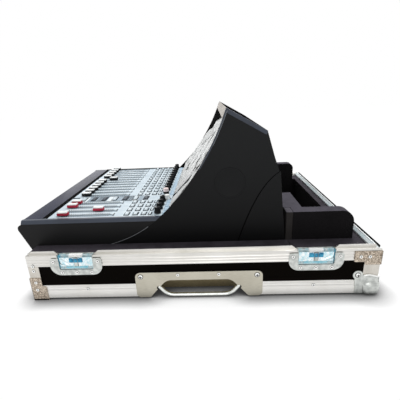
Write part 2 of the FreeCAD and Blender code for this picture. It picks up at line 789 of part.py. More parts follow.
def ball_corner():
    """Pressed ball over a lower rear corner, with an ear up the post and one along each edge."""
    middle = V(case_x + BALL_PROUD - BALL_RADIUS, case_rear + BALL_PROUD - BALL_RADIUS, BALL_RADIUS)
    ball = Part.makeSphere(BALL_RADIUS, middle)
    inside = box(-case_x, case_x, case_front, case_rear, edge_z, ledge_z)
    shape = ball.cut(inside)
    outer = case_x + BRACE
    rear = case_rear + BRACE
    side = box(case_x, outer, case_rear - EAR_LENGTH, rear, edge_z, LUG_HEIGHT)
    back = box(case_x - EAR_LENGTH, outer, case_rear, rear, edge_z, LUG_HEIGHT)
    post = box(case_x, outer, case_rear - LUG_FROM_REAR, rear, LUG_HEIGHT, EAR_RISE)
    lug = rod((case_x, case_rear - LUG_FROM_REAR, LUG_HEIGHT), (1, 0, 0), LUG_RADIUS, BRACE)
    return union([shape, side, back, post, lug])


def foot_brace():
    """Angle brace round the front end of a side wall, down to the ground."""
    heel = edge_z + EDGE_FACE
    outer = case_x + BRACE
    front = case_front - BRACE
    toe = case_front + FOOT_BRACE_WIDTH
    face = box(case_x, outer, front, toe, 0, heel)
    arm = box(case_x, outer, front, case_front + SIDE_POST, heel, FOOT_BRACE_HEIGHT)
    wrap = box(case_x - SIDE_POST, outer, front, case_front, 0, FOOT_BRACE_HEIGHT)
    sole = box(case_x - SIDE_POST, outer, front, toe, 0, edge_z)
    return union([face, arm, wrap, sole])


def rear_brace():
    """Angle brace round an upper rear corner, over the lid rail and the post."""
    high = ledge_z - BRACE_DROP
    low = high - BRACE_WIDTH
    outer = case_x + BRACE
    rear = case_rear + BRACE
    side = box(case_x, outer, case_rear - BRACE_ARM, rear, low, high)
    heel = box(case_x, outer, case_rear - REAR_POST, rear, high - BRACE_HEEL, high)
    back = box(case_x - BRACE_ARM, outer, case_rear, rear, low, high)
    return union([side, heel, back])


def corner_braces():
    pieces = [foot_brace(), rear_brace()]
    return pieces + [mirrored(piece) for piece in pieces]


# ---------------------------------------------------------------- latches
def latch_plate(y):
    half = LATCH_WIDTH / 2
    low = ledge_z - LATCH_DROP
    shoulder = low + LATCH_CORNER / 2
    ring = [(y - half, ledge_z), (y + half, ledge_z), (y + half, shoulder)]
    ring += [(y + half - LATCH_CORNER, low), (y - half + LATCH_CORNER, low), (y - half, shoulder)]
    plate = prism(ring, case_x, case_x + BRACE)
    window = DISH_WIDTH / 2
    return plate.cut(box(case_x, case_x + PAST, y - window, y + window, ledge_z - DISH_DROP, ledge_z + PAST))


def latch_dish(y):
    """Half dish of a twist latch: plate, recessed pan and the hub that the wings fold on."""
    half = DISH_WIDTH / 2
    rim = half + DISH_METAL
    low = ledge_z - DISH_DROP
    crest = ledge_z + TONGUE_HEIGHT
    pan = box(wall_in, case_x + BRACE, y - rim, y + rim, low - DISH_METAL, crest)
    hollow = box(wall_in + DISH_METAL, case_x + PAST, y - half, y + half, low, ledge_z + PAST)
    half_hub = HUB_WIDTH / 2
    hub = box(wall_in, case_x - WING_GAP, y - half_hub, y + half_hub, hub_low(), hub_low() + HUB_HEIGHT)
    return union([pan.cut(hollow), latch_plate(y), hub])


def hub_low():
    return ledge_z - DISH_DROP + (DISH_DROP - HUB_HEIGHT) / 2


def wing_axis(y, side):
    return (case_x - WING_BARREL - WING_GAP, y + side * (HUB_WIDTH / 2 + WING_GAP + WING_BARREL))


def latch_wing(y, side):
    """One of the two wings that fold flat in the dish; side is -1 to the front, 1 to the rear."""
    x_axis, y_axis = wing_axis(y, side)
    low = hub_low() + (HUB_HEIGHT - WING_HEIGHT) / 2
    barrel = rod((x_axis, y_axis, low), (0, 0, 1), WING_BARREL, WING_HEIGHT)
    ends = sorted((y_axis, y_axis + side * WING_LENGTH))
    half = WING_THICKNESS / 2
    leaf = box(x_axis - half, x_axis + half, ends[0], ends[1], low, low + WING_HEIGHT)
    return union([barrel, leaf])


# ---------------------------------------------------------------- pull-out handle
def rod_places():
    return [handle_mid + side * BAR_SPREAD / 2 for side in (-1, 1)]


def mouth_outline():
    top = MOUTH_TOP_WIDTH / 2
    foot = MOUTH_FOOT_WIDTH / 2
    left = [(handle_mid - foot, HANDLE_FOOT - PAST), (handle_mid - foot, HANDLE_FOOT)]
    left.append((handle_mid - top, MOUTH_TOP))
    return left + [(2 * handle_mid - place, height) for place, height in left[::-1]]


def handle_plate():
    half = HANDLE_WIDTH / 2
    flat = half - HANDLE_CORNER
    shoulder = HANDLE_TOP - HANDLE_CORNER
    left = [(handle_mid - half, HANDLE_FOOT), (handle_mid - half, shoulder), (handle_mid - flat, HANDLE_TOP)]
    ring = left + [(2 * handle_mid - place, height) for place, height in left[::-1]]
    plate = prism(ring, case_x, case_x + BRACE)
    cutters = [prism(mouth_outline(), case_x, case_x + PAST)]
    for y in rod_places():
        cutters.append(rod((case_x, y, rod_z), (1, 0, 0), BAR_RADIUS + BAR_NOTCH, PAST))
    return without(plate, cutters)


def handle_housing():
    """Steel recess behind the plate, with the two guide tubes that its rods run in."""
    outer = recess_box(WELL_METAL).common(box(0, wall_out, case_front, case_rear, edge_z, ledge_z))
    shell = outer.cut(recess_box(0))
    bore = BAR_RADIUS + BAR_FIT
    tubes = []
    bores = []
    for y in rod_places():
        tubes.append(rod((recess_x, y, rod_z), (-1, 0, 0), bore + TUBE_WALL, TUBE_LENGTH))
        bores.append(rod((recess_x + PAST, y, rod_z), (-1, 0, 0), bore, TUBE_LENGTH * 2))
    return without(union([shell] + tubes), bores)


def pull_handle():
    """Bent bar: two rods, two rising ends and the straight grip, with balls at the bends."""
    half = BAR_STRAIGHT / 2
    first, last = rod_places()
    low = [(bar_x, handle_mid - half, BAR_LOW), (bar_x, handle_mid + half, BAR_LOW)]
    bends = [(bar_x, first, rod_z)] + low + [(bar_x, last, rod_z)]
    pieces = [Part.makeSphere(BAR_RADIUS, V(*bend)) for bend in bends]
    for a, b in zip(bends, bends[1:]):
        pieces.append(rod(a, [q - p for p, q in zip(a, b)], BAR_RADIUS, math.dist(a, b)))
    for y in (first, last):
        pieces.append(rod((bar_x, y, rod_z), (-1, 0, 0), BAR_RADIUS, ROD_LENGTH))
    return union(pieces)


# ---------------------------------------------------------------- wheels
def wheel_well(y):
    """Steel well with the axle across it."""
    room = box(-wall_out, 0, case_front, case_rear, edge_z, ledge_z)
    shell = well_box(y, WELL_METAL).common(room).cut(well_box(y, 0))
    half = WHEEL_WIDTH / 2 + WELL_GAP
    axle = rod((wheel_x, y - half, wheel_z), (0, 1, 0), AXLE_RADIUS, half * 2)
    return union([shell, axle])


def wheel(y):
    tread = rod((wheel_x, y - WHEEL_WIDTH / 2, wheel_z), (0, 1, 0), WHEEL_RADIUS, WHEEL_WIDTH)
    bore = rod((wheel_x, y - WHEEL_WIDTH, wheel_z), (0, 1, 0), AXLE_RADIUS + AXLE_FIT, WHEEL_WIDTH * 2)
    return tread.cut(bore)


# ---------------------------------------------------------------- foam
def tube_channels():
    """Room round the handle's tubes, open to the floor."""
    radius = BAR_RADIUS + BAR_FIT + TUBE_WALL + FOAM_GAP
    reach = min(recess_x - TUBE_LENGTH, bar_x - ROD_LENGTH) - FOAM_GAP
    top = rod_z + radius
    return [box(reach, recess_x, y - radius, y + radius, floor_top - PAST, top) for y in rod_places()]


def foam_pad():
    """Pad that the desk's feet stand on."""
    inner = case_x - RAIL_WIDTH - FOAM_GAP
    pad = box(-inner, inner, case_front + METAL + FOAM_GAP, rear_foot[0], floor_top, desk_z)
    return without(pad, tray_gaps(WELL_METAL + FOAM_GAP) + tube_channels())


def foam_lining():
    """Side strips beside the desk and the strip inside the rear wall."""
    inner = case_x - RAIL_WIDTH - FOAM_GAP
    face = case_rear - RAIL_WIDTH - FOAM_GAP
    start = case_front + METAL + FOAM_GAP
    side = box(desk_side + FOAM_GAP, inner, start, rear_foot[0], desk_z, foam_z)
    beside_post = case_x - SIDE_POST - FOAM_GAP
    proud = box(desk_side + FOAM_GAP, beside_post, case_front - FOAM_PROUD, start, desk_z, foam_z)
    tail = box(desk_side + FOAM_GAP, inner, rear_foot[0], face, floor_top, foam_z)
    gaps = tray_gaps(WELL_METAL + FOAM_GAP)
    right = without(union([side, proud, tail]), gaps)
    left = without(mirrored(union([side, proud, tail])), gaps)
    rear = box(-desk_side, desk_side, face - LINING, face, floor_top, foam_z)
    return [right, left, rear]


def foam_block(forward):
    """L-shaped block behind a rear corner of the desk, rounded off at the back."""
    front = rear_foot[0] + BLOCK_BEHIND - forward
    back = case_rear - RAIL_WIDTH - FOAM_GAP - LINING - BLOCK_TO_LINING - forward
    arm = box(desk_side - BLOCK_REACH, desk_side, front, front + BLOCK_ARM, floor_top, block_z)
    leg = box(desk_side - BLOCK_LEG, desk_side, front, back, floor_top, block_z)
    corner = box(0, desk_side, back - BLOCK_ROUND, back, block_z - BLOCK_ROUND, block_z)
    round_off = rod((0, back - BLOCK_ROUND, block_z - BLOCK_ROUND), (1, 0, 0), BLOCK_ROUND, desk_side)
    return union([arm, leg]).cut(corner.cut(round_off))


# ---------------------------------------------------------------- fasteners
def rivet(x, y, z):
    """Round head on a face that looks right."""
    ball = Part.makeSphere(RIVET_RADIUS, V(x - RIVET_RADIUS + RIVET_HEAD, y, z))
    return ball.common(box(x, x + PAST, y - PAST, y + PAST, z - PAST, z + PAST))


def screw(x, y, z):
    """Pan head on a face that looks right."""
    return rod((x, y, z), (1, 0, 0), SCREW_RADIUS, SCREW_HEAD)


def latch_rivets(y):
    face = case_x + BRACE
    low = ledge_z - LATCH_DROP + RIVET_EDGE
    high = ledge_z - LATCH_RIVET_DROP
    upper = [rivet(face, y + side * LATCH_RIVET_REACH, high) for side in (-1, 1)]
    return upper + [rivet(face, y + side * LATCH_RIVET_PITCH, low) for side in (-1, 0, 1)]


def handle_fasteners():
    face = case_x + BRACE
    heads = []
    for side in (-1, 1):
        heads.append(rivet(face, handle_mid + side * HANDLE_RIVETS / 2, HANDLE_TOP - RIVET_EDGE))
        heads.append(screw(face, handle_mid + side * HANDLE_SCREWS / 2, HANDLE_TOP - HANDLE_CORNER))
    return heads


def brace_fasteners():
    """Heads on the foot brace, the front post, the rear brace and the ball corner's ear."""
    face = case_x + BRACE
    mid_post = case_front + SIDE_POST / 2
    brace_middle = ledge_z - BRACE_DROP - BRACE_WIDTH / 2
    heads = []
    for z in FRONT_RIVETS:
        heads.append(rivet(case_x if z > FOOT_BRACE_HEIGHT else face, mid_post, z))
    heads.append(rivet(face, case_rear - SIDE_POST, brace_middle))
    heads.append(rivet(face, case_rear - BRACE_ARM + BRACE_WIDTH / 2, brace_middle))
    heads.append(screw(face, case_rear - LUG_FROM_REAR, LUG_HEIGHT))
    return heads


def fasteners():
    heads = handle_fasteners()
    for y in latch_middles():
        heads += latch_rivets(y)
    for side in (-1, 1):
        heads.append(rivet(case_x, handle_mid + side * EDGE_RIVETS / 2, edge_z + EDGE_RIVET_RISE))
    for head in brace_fasteners():
        heads += [head, mirrored(head)]
    return heads


# ---------------------------------------------------------------- write every node
os.makedirs("parts", exist_ok=True)

right_cheek = cheek()
save("cheek_right", [right_cheek])
save("cheek_left", [mirrored(right_cheek)])
save("palm_rest", [palm_rest()])
save("control_panel", [control_panel()])
save("display_housing", [display_housing()])
save("main_touchscreen", [screen(-moulding_side, GLASS_SPLIT - SEAM)])
save("utility_screen", [screen(GLASS_SPLIT + SEAM, moulding_side)])
save("hood", [hood()])
save("rear_panel", [rear_panel()])
save("xlr_sockets", [xlr_socket(place) for place in socket_places()])
save("base_pan", [base_pan()])
save("desk_feet", [rod((x, y, desk_z), (0, 0, 1), FOOT_RADIUS, FOOT_HEIGHT) for x, y in foot_places()])
save("main_board", [main_board()])
save("power_supply", [power_supply()])
save("fader_tracks", [fader_track(x) for x in strips])
for number, (x, rest) in enumerate(zip(strips, fader_rest), 1):
    save("fader_cap_%02d" % number, [fader_cap(x, rest)])
save("encoder_row", [knob(x) for x in left_strips])
for number, x in enumerate(right_strips[::-1], 1):
    save("encoder_knob_%d" % number, [knob(x)])
save("keys_select", [key(*place) for place in row_keys(SELECT_ROW)])
save("keys_cue", [key(*place) for place in row_keys(CUE_ROW)])
save("keys_on", [key(*place) for place in row_keys(ON_ROW)])
save("keys_bank", [key(*place) for place in bank_column()])

save("tray_floor", [tray_floor()])
save("tray_walls", tray_walls())
save("lid_rails", lid_rails())
save("edge_angles", base_edges() + corner_posts())
save("ball_corners", [ball_corner(), mirrored(ball_corner())])
save("corner_braces", corner_braces())
save("latch_dishes", [latch_dish(y) for y in latch_middles()])
for name, y in zip(("front", "rear"), latch_middles()):
    save("latch_wing_%s_a" % name, [latch_wing(y, -1)])
    save("latch_wing_%s_b" % name, [latch_wing(y, 1)])
save("handle_plate", [handle_plate()])
save("handle_housing", [handle_housing()])
save("pull_handle", [pull_handle()])
save("wheel_wells", [wheel_well(y) for y in wheel_places()])
for name, y in zip(("front", "rear"), wheel_places()):
    save("wheel_%s" % name, [wheel(y)])
save("foam_lining", [foam_pad()] + foam_lining())
save("foam_blocks", [foam_block(0), mirrored(foam_block(FAR_BLOCK_SHIFT))])
save("fasteners", fasteners())
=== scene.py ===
"""Looks of the live-sound control desk in its flight-case tray.

Shapes are worked out in millimetres in the frame of the solids: +X operator's right, +Y back,
+Z up.  `piece` turns them into metres.
"""

import math

import bmesh
import bpy
import numpy as np
from mathutils import Matrix, Vector


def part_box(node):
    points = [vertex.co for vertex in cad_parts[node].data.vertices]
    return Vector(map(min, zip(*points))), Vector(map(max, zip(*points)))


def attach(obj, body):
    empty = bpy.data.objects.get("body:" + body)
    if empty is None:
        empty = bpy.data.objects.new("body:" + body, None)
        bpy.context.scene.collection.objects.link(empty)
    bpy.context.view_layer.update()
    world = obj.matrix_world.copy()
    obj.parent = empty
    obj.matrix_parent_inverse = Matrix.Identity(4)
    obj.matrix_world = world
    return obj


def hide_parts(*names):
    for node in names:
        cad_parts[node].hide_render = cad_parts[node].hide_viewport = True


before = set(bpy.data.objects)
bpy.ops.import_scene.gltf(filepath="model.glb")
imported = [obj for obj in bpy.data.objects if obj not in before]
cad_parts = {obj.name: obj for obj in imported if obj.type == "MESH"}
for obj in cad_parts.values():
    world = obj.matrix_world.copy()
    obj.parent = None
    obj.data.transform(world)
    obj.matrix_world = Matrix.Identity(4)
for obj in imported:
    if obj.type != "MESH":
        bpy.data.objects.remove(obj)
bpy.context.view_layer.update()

ROOT = "desk_in_tray"
MM = 0.001


def span(node):
    """Lowest and highest corner of a CAD node in millimetres."""
    low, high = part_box(node)
    return np.array(low) / MM, np.array(high) / MM


def centre(node):
    """Middle of a CAD node's box in millimetres."""
    return sum(span(node)) / 2


# ---- places from the frame
(inner_side, nose_y, shell_z), (desk_side, rear_foot_y, tip_z) = span("cheek_right")
moulding, panel_rear, panel_z = span("control_panel")[1]
palm_rear = span("palm_rest")[1][1]
(_, case_front, rail_z), (case_x, case_rear, crest_z) = span("lid_rails")
edge_z = span("edge_angles")[0][2]

# ---- sizes of the desk's outline and of its tray's sections
HORN_RADIUS = 515.0          # front edge of the raised part of a cheek
HORN_START = 305.0           # foot of that edge behind the nose
GLASS_SETBACK = 17.0         # screens behind it
LIP_HEIGHT = 20.0
CROWN_RUN = 78.7
CROWN_DROP = 45.3
KNEE_INSET = 19.0            # bend of the rear face
KNEE_HEIGHT = 188.4
FRONT_UNDERCUT = 36.5
NOSE_TOP_DROP = 13.0
NOSE_FACE = 8.0
NOSE_RAKE = 10.0
CHAMFER_WIDTH = 5.0
CHAMFER_DROP = 7.6
METAL = 1.7                  # wall of the aluminium sections
PLY = 9.0
BRACE = 1.5                  # sheet of the pressed steel pieces
LEDGE_DROP = 6.0             # rail's ledge below its tongue
crown = np.array([span("hood")[1][1], tip_z - CROWN_DROP])
tip = np.array([crown[0] - CROWN_RUN, tip_z])
knee = np.array([rear_foot_y - KNEE_INSET, shell_z + KNEE_HEIGHT])
rear_foot = np.array([rear_foot_y, shell_z])
horn_foot = np.array([nose_y + HORN_START, panel_z])
front_foot = np.array([nose_y + FRONT_UNDERCUT, shell_z])
nose_top = np.array([nose_y, panel_z - NOSE_TOP_DROP])
nose_low = nose_top - [0, NOSE_FACE]
palm_edge = np.array([nose_y + NOSE_RAKE, panel_z])
ledge_z = crest_z - LEDGE_DROP
face_x = case_x + BRACE      # outer face of a pressed plate on the side wall


# ---- shapes, in millimetres
def joined(*parts):
    """Points from coordinates that broadcast together."""
    return np.stack(np.broadcast_arrays(*parts), -1).astype(float)


def circle(steps):
    """Angles of a full turn, without its end."""
    return np.linspace(0, math.tau, steps, endpoint=False)


def unit(vectors):
    """Vectors divided by their lengths."""
    return vectors / np.linalg.norm(vectors, axis=-1, keepdims=True)


def rounded(corners, radius, steps=6):
    """Polygon with each corner replaced by a tangent arc.

    Tangent length is radius * tan(turn / 2); the arc turns from the incoming direction to the
    outgoing one in equal steps about a centre on the inner side.
    """
    corners = np.asarray(corners, float)
    radius = np.broadcast_to(np.asarray(radius, float), len(corners))
    before = unit(corners - np.roll(corners, 1, axis=0))
    after = np.roll(before, -1, axis=0)
    turn = np.arctan2(before[:, 0] * after[:, 1] - before[:, 1] * after[:, 0], (before * after).sum(1))
    start = corners - before * (radius * np.tan(np.abs(turn) / 2))[:, None]
    spoke = np.stack([before[:, 1], -before[:, 0]], 1) * (np.sign(turn) * radius)[:, None]
    angle = turn[:, None] * np.linspace(0, 1, steps)
    cos, sin = np.cos(angle), np.sin(angle)
    across = (start - spoke)[:, :1] + spoke[:, :1] * cos - spoke[:, 1:] * sin
    up = (start - spoke)[:, 1:] + spoke[:, :1] * sin + spoke[:, 1:] * cos
    return joined(across, up).reshape(-1, 2)


def bowed(start, end, bulge, steps=14):
    """Parabola between two points: the chord plus a bulge of 4 t (1 - t) square to it."""
    t = np.linspace(0, 1, steps)[:, None]
    chord = np.subtract(end, start)
    return start + chord * t + np.array([-chord[1], chord[0]]) * bulge * 4 * t * (1 - t)


def bent(start, pull_start, pull_end, end, steps=22):
    """Cubic curve between two points, drawn towards two others by the Bernstein weights."""
    t = np.linspace(0, 1, steps)[:, None]
    weights = ((1 - t) ** 3, 3 * (1 - t) ** 2 * t, 3 * (1 - t) * t * t, t ** 3)
    return sum(weight * np.array(point) for weight, point in zip(weights, (start, pull_start, pull_end, end)))


def face_volume(points, index):
    """Sum of the signed volumes of cones from the origin to each face, by its fan of edges."""
    corners = points[index]
    following = np.roll(corners, -1, axis=1)
    return np.einsum("ki,kni->", corners[:, 0], np.cross(corners, following)) / 6


def loft(rows):
    """Closed tube through rows of loops: each point joins its neighbour in the row and its partner
    in the next row, with a flat cap at both ends.  A negative volume turns every face round."""
    rows = np.asarray(rows, float)
    index = np.arange(rows.shape[0] * rows.shape[1]).reshape(rows.shape[:2])
    ahead = np.roll(index, -1, axis=1)
    quads = np.stack([index[:-1], ahead[:-1], ahead[1:], index[1:]], -1).reshape(-1, 4)
    caps = np.stack([index[0][::-1], index[-1]])
    points = rows.reshape(-1, 3)
    turn = -1 if face_volume(points, quads) + face_volume(points, caps) < 0 else 1
    return points, [face[::turn] for face in quads.tolist() + caps.tolist()]


def prism(outline, low, high, axis):
    """Outline in the two other axes, carried from low to high along one axis."""
    return loft([np.insert(np.asarray(outline, float), axis, end, axis=1) for end in (low, high)])


def stacked(outline, scale, heights, place):
    """Rings of one outline about a place: each is scaled and set at its own height."""
    rings = outline[None] * scale[:, None] + place
    return loft(joined(rings[..., 0], rings[..., 1], heights[:, None]))


def cuboids(low, high):
    """Many boxes at once from arrays of lowest and highest corners."""
    low, high = (side.reshape(-1, 1, 3) for side in np.broadcast_arrays(low, high))
    pick = np.array([(x, y, z) for z in (0, 1) for x, y in ((0, 0), (1, 0), (1, 1), (0, 1))])
    points = np.where(pick, high, low).reshape(-1, 3)
    sides = [[0, 3, 2, 1], [4, 5, 6, 7], [0, 1, 5, 4], [1, 2, 6, 5], [2, 3, 7, 6], [3, 0, 4, 7]]
    faces = (np.array(sides) + 8 * np.arange(len(low))[:, None, None]).reshape(-1, 4)
    return points.astype(float), faces.tolist()


def turned(profile, place, axis, steps=32):
    """Profile of (radius, height) points turned a full circle about a line along one axis."""
    radius, height = np.transpose(np.asarray(profile, float))[..., None]
    angle = circle(steps)
    rings = joined(radius * np.cos(angle), radius * np.sin(angle))
    return loft(np.insert(rings, axis, height, axis=2) + np.asarray(place, float))


TUBE_REFERENCE = np.array([0.31, 0.17, 0.93])


def tube(path, radius, steps=20):
    """Round section carried along a path in space.

    Each ring stands square to the path's central difference; its first axis is the part of a
    fixed reference direction that is square to the path.
    """
    path = np.asarray(path, float)
    along = unit(np.gradient(path, axis=0))
    first = unit(TUBE_REFERENCE - along * (along @ TUBE_REFERENCE)[:, None])
    second = np.cross(along, first)
    angle = circle(steps)[:, None]
    ring = first[:, None] * np.cos(angle) + second[:, None] * np.sin(angle)
    return loft(path[:, None] + radius * ring)


def grid_faces(shape):
    """Number of each point of a grid, and one face for each of its cells."""
    index = np.arange(shape[0] * shape[1]).reshape(shape[:2])
    cells = np.stack([index[:-1, :-1], index[:-1, 1:], index[1:, 1:], index[1:, :-1]], -1)
    return index, cells.reshape(-1, 4)


def sheet(grid):
    """Open sheet through a grid of points."""
    return grid.reshape(-1, 3), grid_faces(grid.shape)[1].tolist()


def slab(top, under):
    """Closed plate between two grids of the same size: both sheets and a wall round their edges.
    The signed volume turns all of it the right way out."""
    points = np.concatenate([top.reshape(-1, 3), under.reshape(-1, 3)])
    index, cells = grid_faces(top.shape)
    rim = np.concatenate([index[0, :-1], index[:-1, -1], index[-1, :0:-1], index[:0:-1, 0]])
    rim_below = rim + index.size
    walls = np.stack([rim, rim_below, np.roll(rim_below, -1), np.roll(rim, -1)], 1)
    faces = np.concatenate([cells, cells[:, ::-1] + index.size, walls])
    if face_volume(points, faces) < 0:
        faces = faces[:, ::-1]
    return points, faces.tolist()


def mirrored(shape):
    """The same shape on the operator's left, with its faces turned round again."""
    points, faces = shape
    return points * np.array([-1, 1, 1]), [face[::-1] for face in faces]


def both(shapes):
    """Shapes on the right, and the same on the left."""
    return list(shapes) + [mirrored(shape) for shape in shapes]


# ---- pieces
def shown(name, data):
    """Object of some data at the origin, in the scene."""
    item = bpy.data.objects.new(name, data)
    bpy.context.scene.collection.objects.link(item)
    return item


def placed(name, data, finish, body, stands_for, bevel, segments, sharp):
    """Object that rides on a body and may stand for a CAD node.  It is shaded smooth, with edges
    sharper than an angle kept, and a bevel on them."""
    data.materials.clear()
    data.materials.append(finish)
    data.shade_smooth()
    data.set_sharp_from_angle(angle=math.radians(sharp))
    item = shown(name, data)
    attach(item, body)
    if stands_for:
        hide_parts(stands_for)
    if bevel:
        edge = item.modifiers.new("edge", "BEVEL")
        edge.width = bevel * MM
        edge.segments = segments
        edge.limit_method = "ANGLE"
        edge.angle_limit = math.radians(sharp)
        edge.use_clamp_overlap = True
        edge.harden_normals = True
    return item


def piece(name, shapes, finish, body=ROOT, stands_for=None, bevel=0.0, segments=2, sharp=35):
    """One object from several shapes, in metres, riding on a body."""
    points = np.concatenate([shape[0] for shape in shapes]) * MM
    starts = np.cumsum([0] + [len(shape[0]) for shape in shapes[:-1]]).tolist()
    faces = [[n + start for n in face] for shape, start in zip(shapes, starts) for face in shape[1]]
    data = bpy.data.meshes.new(name)
    data.from_pydata(points.tolist(), [], faces)
    data.validate()
    return placed(name, data, finish, body, stands_for, bevel, segments, sharp)


GLUE_LINE = 0.5


def part_along(work, point, direction):
    """Keeps what lies on each side of a plane, half a glue line away, and closes both."""
    halves = []
    for side in (-1, 1):
        half = work.copy()
        away = direction * side
        bmesh.ops.bisect_plane(half, geom=half.verts[:] + half.edges[:] + half.faces[:], clear_inner=True,
                               plane_co=point + away * GLUE_LINE / 2 * MM, plane_no=away)
        bmesh.ops.holes_fill(half, edges=[edge for edge in half.edges if edge.is_boundary])
        data = bpy.data.meshes.new("half")
        half.to_mesh(data)
        half.free()
        halves.append(data)
    work.clear()
    for data in halves:
        work.from_mesh(data)
        bpy.data.meshes.remove(data)


def softened(node, finish, bevel=0.4, segments=2, cut=None):
    """Copy of a CAD node with its triangles merged into whole faces and its edges eased.  A cut, a
    point and a direction, parts the copy into two closed shells a glue line's width apart."""
    work = bmesh.new()
    work.from_mesh(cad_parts[node].data)
    bmesh.ops.remove_doubles(work, verts=work.verts, dist=1e-6)
    if cut:
        part_along(work, Vector(cut[0]) * MM, Vector(cut[1]))
    bmesh.ops.dissolve_limit(work, angle_limit=math.radians(0.5), verts=work.verts, edges=work.edges)
    data = bpy.data.meshes.new(node + "_eased")
    work.to_mesh(data)
    work.free()
    return placed(node + "_eased", data, finish, ROOT, node, bevel, segments, 35)


def plain(node, finish):
    """A CAD node that keeps its own mesh and gets a finish."""
    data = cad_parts[node].data
    data.materials.clear()
    data.materials.append(finish)


def separate_solids(node):
    """Lowest and highest corners of each solid in a node: every point takes the lowest label on
    its faces, again and again, until no label changes."""
    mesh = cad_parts[node].data
    places = np.empty(len(mesh.vertices) * 3)
    mesh.vertices.foreach_get("co", places)
    corners = np.empty(len(mesh.loops), int)
    mesh.loops.foreach_get("vertex_index", corners)
    points, same = np.unique(np.round(places.reshape(-1, 3) / MM, 2), axis=0, return_inverse=True)
    faces = same.ravel()[corners].reshape(-1, 3)
    label, before = np.arange(len(points)), None
    while not np.array_equal(label, before):
        before = label.copy()
        np.minimum.at(label, faces, before[faces].min(1)[:, None])
    return [(points[label == n].min(0), points[label == n].max(0)) for n in np.unique(label)]


# ---- finishes
def linear(code):
    """sRGB hex to linear RGBA."""
    value = np.array([int(code[n:n + 2], 16) for n in (1, 3, 5)]) / 255
    return tuple(np.where(value <= 0.04045, value / 12.92, ((value + 0.055) / 1.055) ** 2.4)) + (1.0,)


def add(tree, kind, settings=(), links=()):
    """Adds one node, sets its sockets or properties, and links its inputs, each to a given socket or
    to the first output of a given node."""
    made = tree.nodes.new("ShaderNode" + kind)
    for key, value in dict(settings).items():
        if isinstance(key, str) and hasattr(made, key):
            setattr(made, key, value)
        else:
            made.inputs[key].default_value = value
    for key, source in dict(links).items():
        tree.links.new(made.inputs[key], source.outputs[0] if isinstance(source, bpy.types.Node) else source)
    return made


def every(size):
    """Scale of a pattern that repeats about every so many millimetres."""
    return 1 / (size * MM)


def cleared(owner):
    """Empty node tree of a material or a world."""
    owner.use_nodes = True
    owner.node_tree.nodes.clear()
    return owner.node_tree


def open_finish(name):
    """Empty material and the place of each point on its object, in metres."""
    made = bpy.data.materials.new(name)
    return made, cleared(made), add(made.node_tree, "TexCoord").outputs["Object"]


def close_finish(made, tones, share, relief, depth, settings, links=()):
    """Colour between two tones by the share that a pattern gives, relief of a depth in millimetres
    from another pattern, the principled shader and the material's output."""
    tree = made.node_tree
    tone = add(tree, "Mix", {"data_type": "RGBA", 6: linear(tones[0]), 7: linear(tones[1])}, {0: share})
    skin = add(tree, "Bump", {"Distance": depth * MM}, {"Height": relief})
    colours = {"Base Color": tone.outputs[2], "Normal": skin}
    shader = add(tree, "BsdfPrincipled", settings, {**colours, **dict(links)})
    add(tree, "OutputMaterial", links={"Surface": shader})
    return made


GRAIN = 0.9                  # drawn grain of a plastic; the real one is about 0.1


def moulded_plastic(name, dark, light, rough, gloss=0.3, depth=0.02, cloud=60.0):
    """Injection-moulded plastic with a spark-eroded texture: a soft sheen broken by fine grain and
    a slow change of tone.  The grain is drawn coarser than it is so that it shows."""
    made, tree, place = open_finish(name)
    slow = add(tree, "TexNoise", {"Scale": every(cloud), "Detail": 2.0}, {"Vector": place})
    spread = add(tree, "MapRange", {"From Min": 0.35, "From Max": 0.65}, {"Value": slow})
    fine = add(tree, "TexNoise", {"Scale": every(GRAIN), "Detail": 2.0}, {"Vector": place})
    satin = add(tree, "MapRange", {"To Min": rough - 0.05, "To Max": rough + 0.07}, {"Value": fine})
    return close_finish(made, (dark, light), spread, fine, depth, {"IOR": 1.5, "Specular IOR Level": gloss},
                        {"Roughness": satin})


def painted_height_light_plastic(name, foot, head, low, high, rough, gloss):
    """Matt black moulding with painted light: the tone rises with height, lighter towards its top as if lit
    from above, over the same spark-eroded grain."""
    made, tree, place = open_finish(name)
    split = add(tree, "SeparateXYZ", {}, {"Vector": place})
    limits = {"From Min": low * MM, "From Max": high * MM, "interpolation_type": "SMOOTHSTEP"}
    rise = add(tree, "MapRange", limits, {"Value": split.outputs["Z"]})
    fine = add(tree, "TexNoise", {"Scale": every(1.0), "Detail": 2.0}, {"Vector": place})
    return close_finish(made, (foot, head), rise, fine, 0.03,
                        {"IOR": 1.5, "Specular IOR Level": gloss, "Roughness": rough})


def brushed_metal(name, dark, light, rough, stretch, blotch=45.0, metallic=1.0):
    """Metal drawn or ground one way: long lines half a millimetre apart over slow changes of tone."""
    made, tree, place = open_finish(name)
    drawn = add(tree, "Mapping", {"Scale": stretch}, {"Vector": place})
    lines = add(tree, "TexNoise", {"Scale": every(0.5), "Detail": 2.0}, {"Vector": drawn})
    slow = add(tree, "TexNoise", {"Scale": every(blotch), "Detail": 3.0}, {"Vector": place})
    both_tones = add(tree, "Math", {"operation": "ADD"}, {0: lines, 1: slow})
    spread = add(tree, "MapRange", {"From Min": 0.7, "From Max": 1.3}, {"Value": both_tones})
    satin = add(tree, "MapRange", {"To Min": rough - 0.06, "To Max": rough + 0.08}, {"Value": lines})
    return close_finish(made, (dark, light), spread, lines, 0.01, {"Metallic": metallic},
                        {"Roughness": satin})


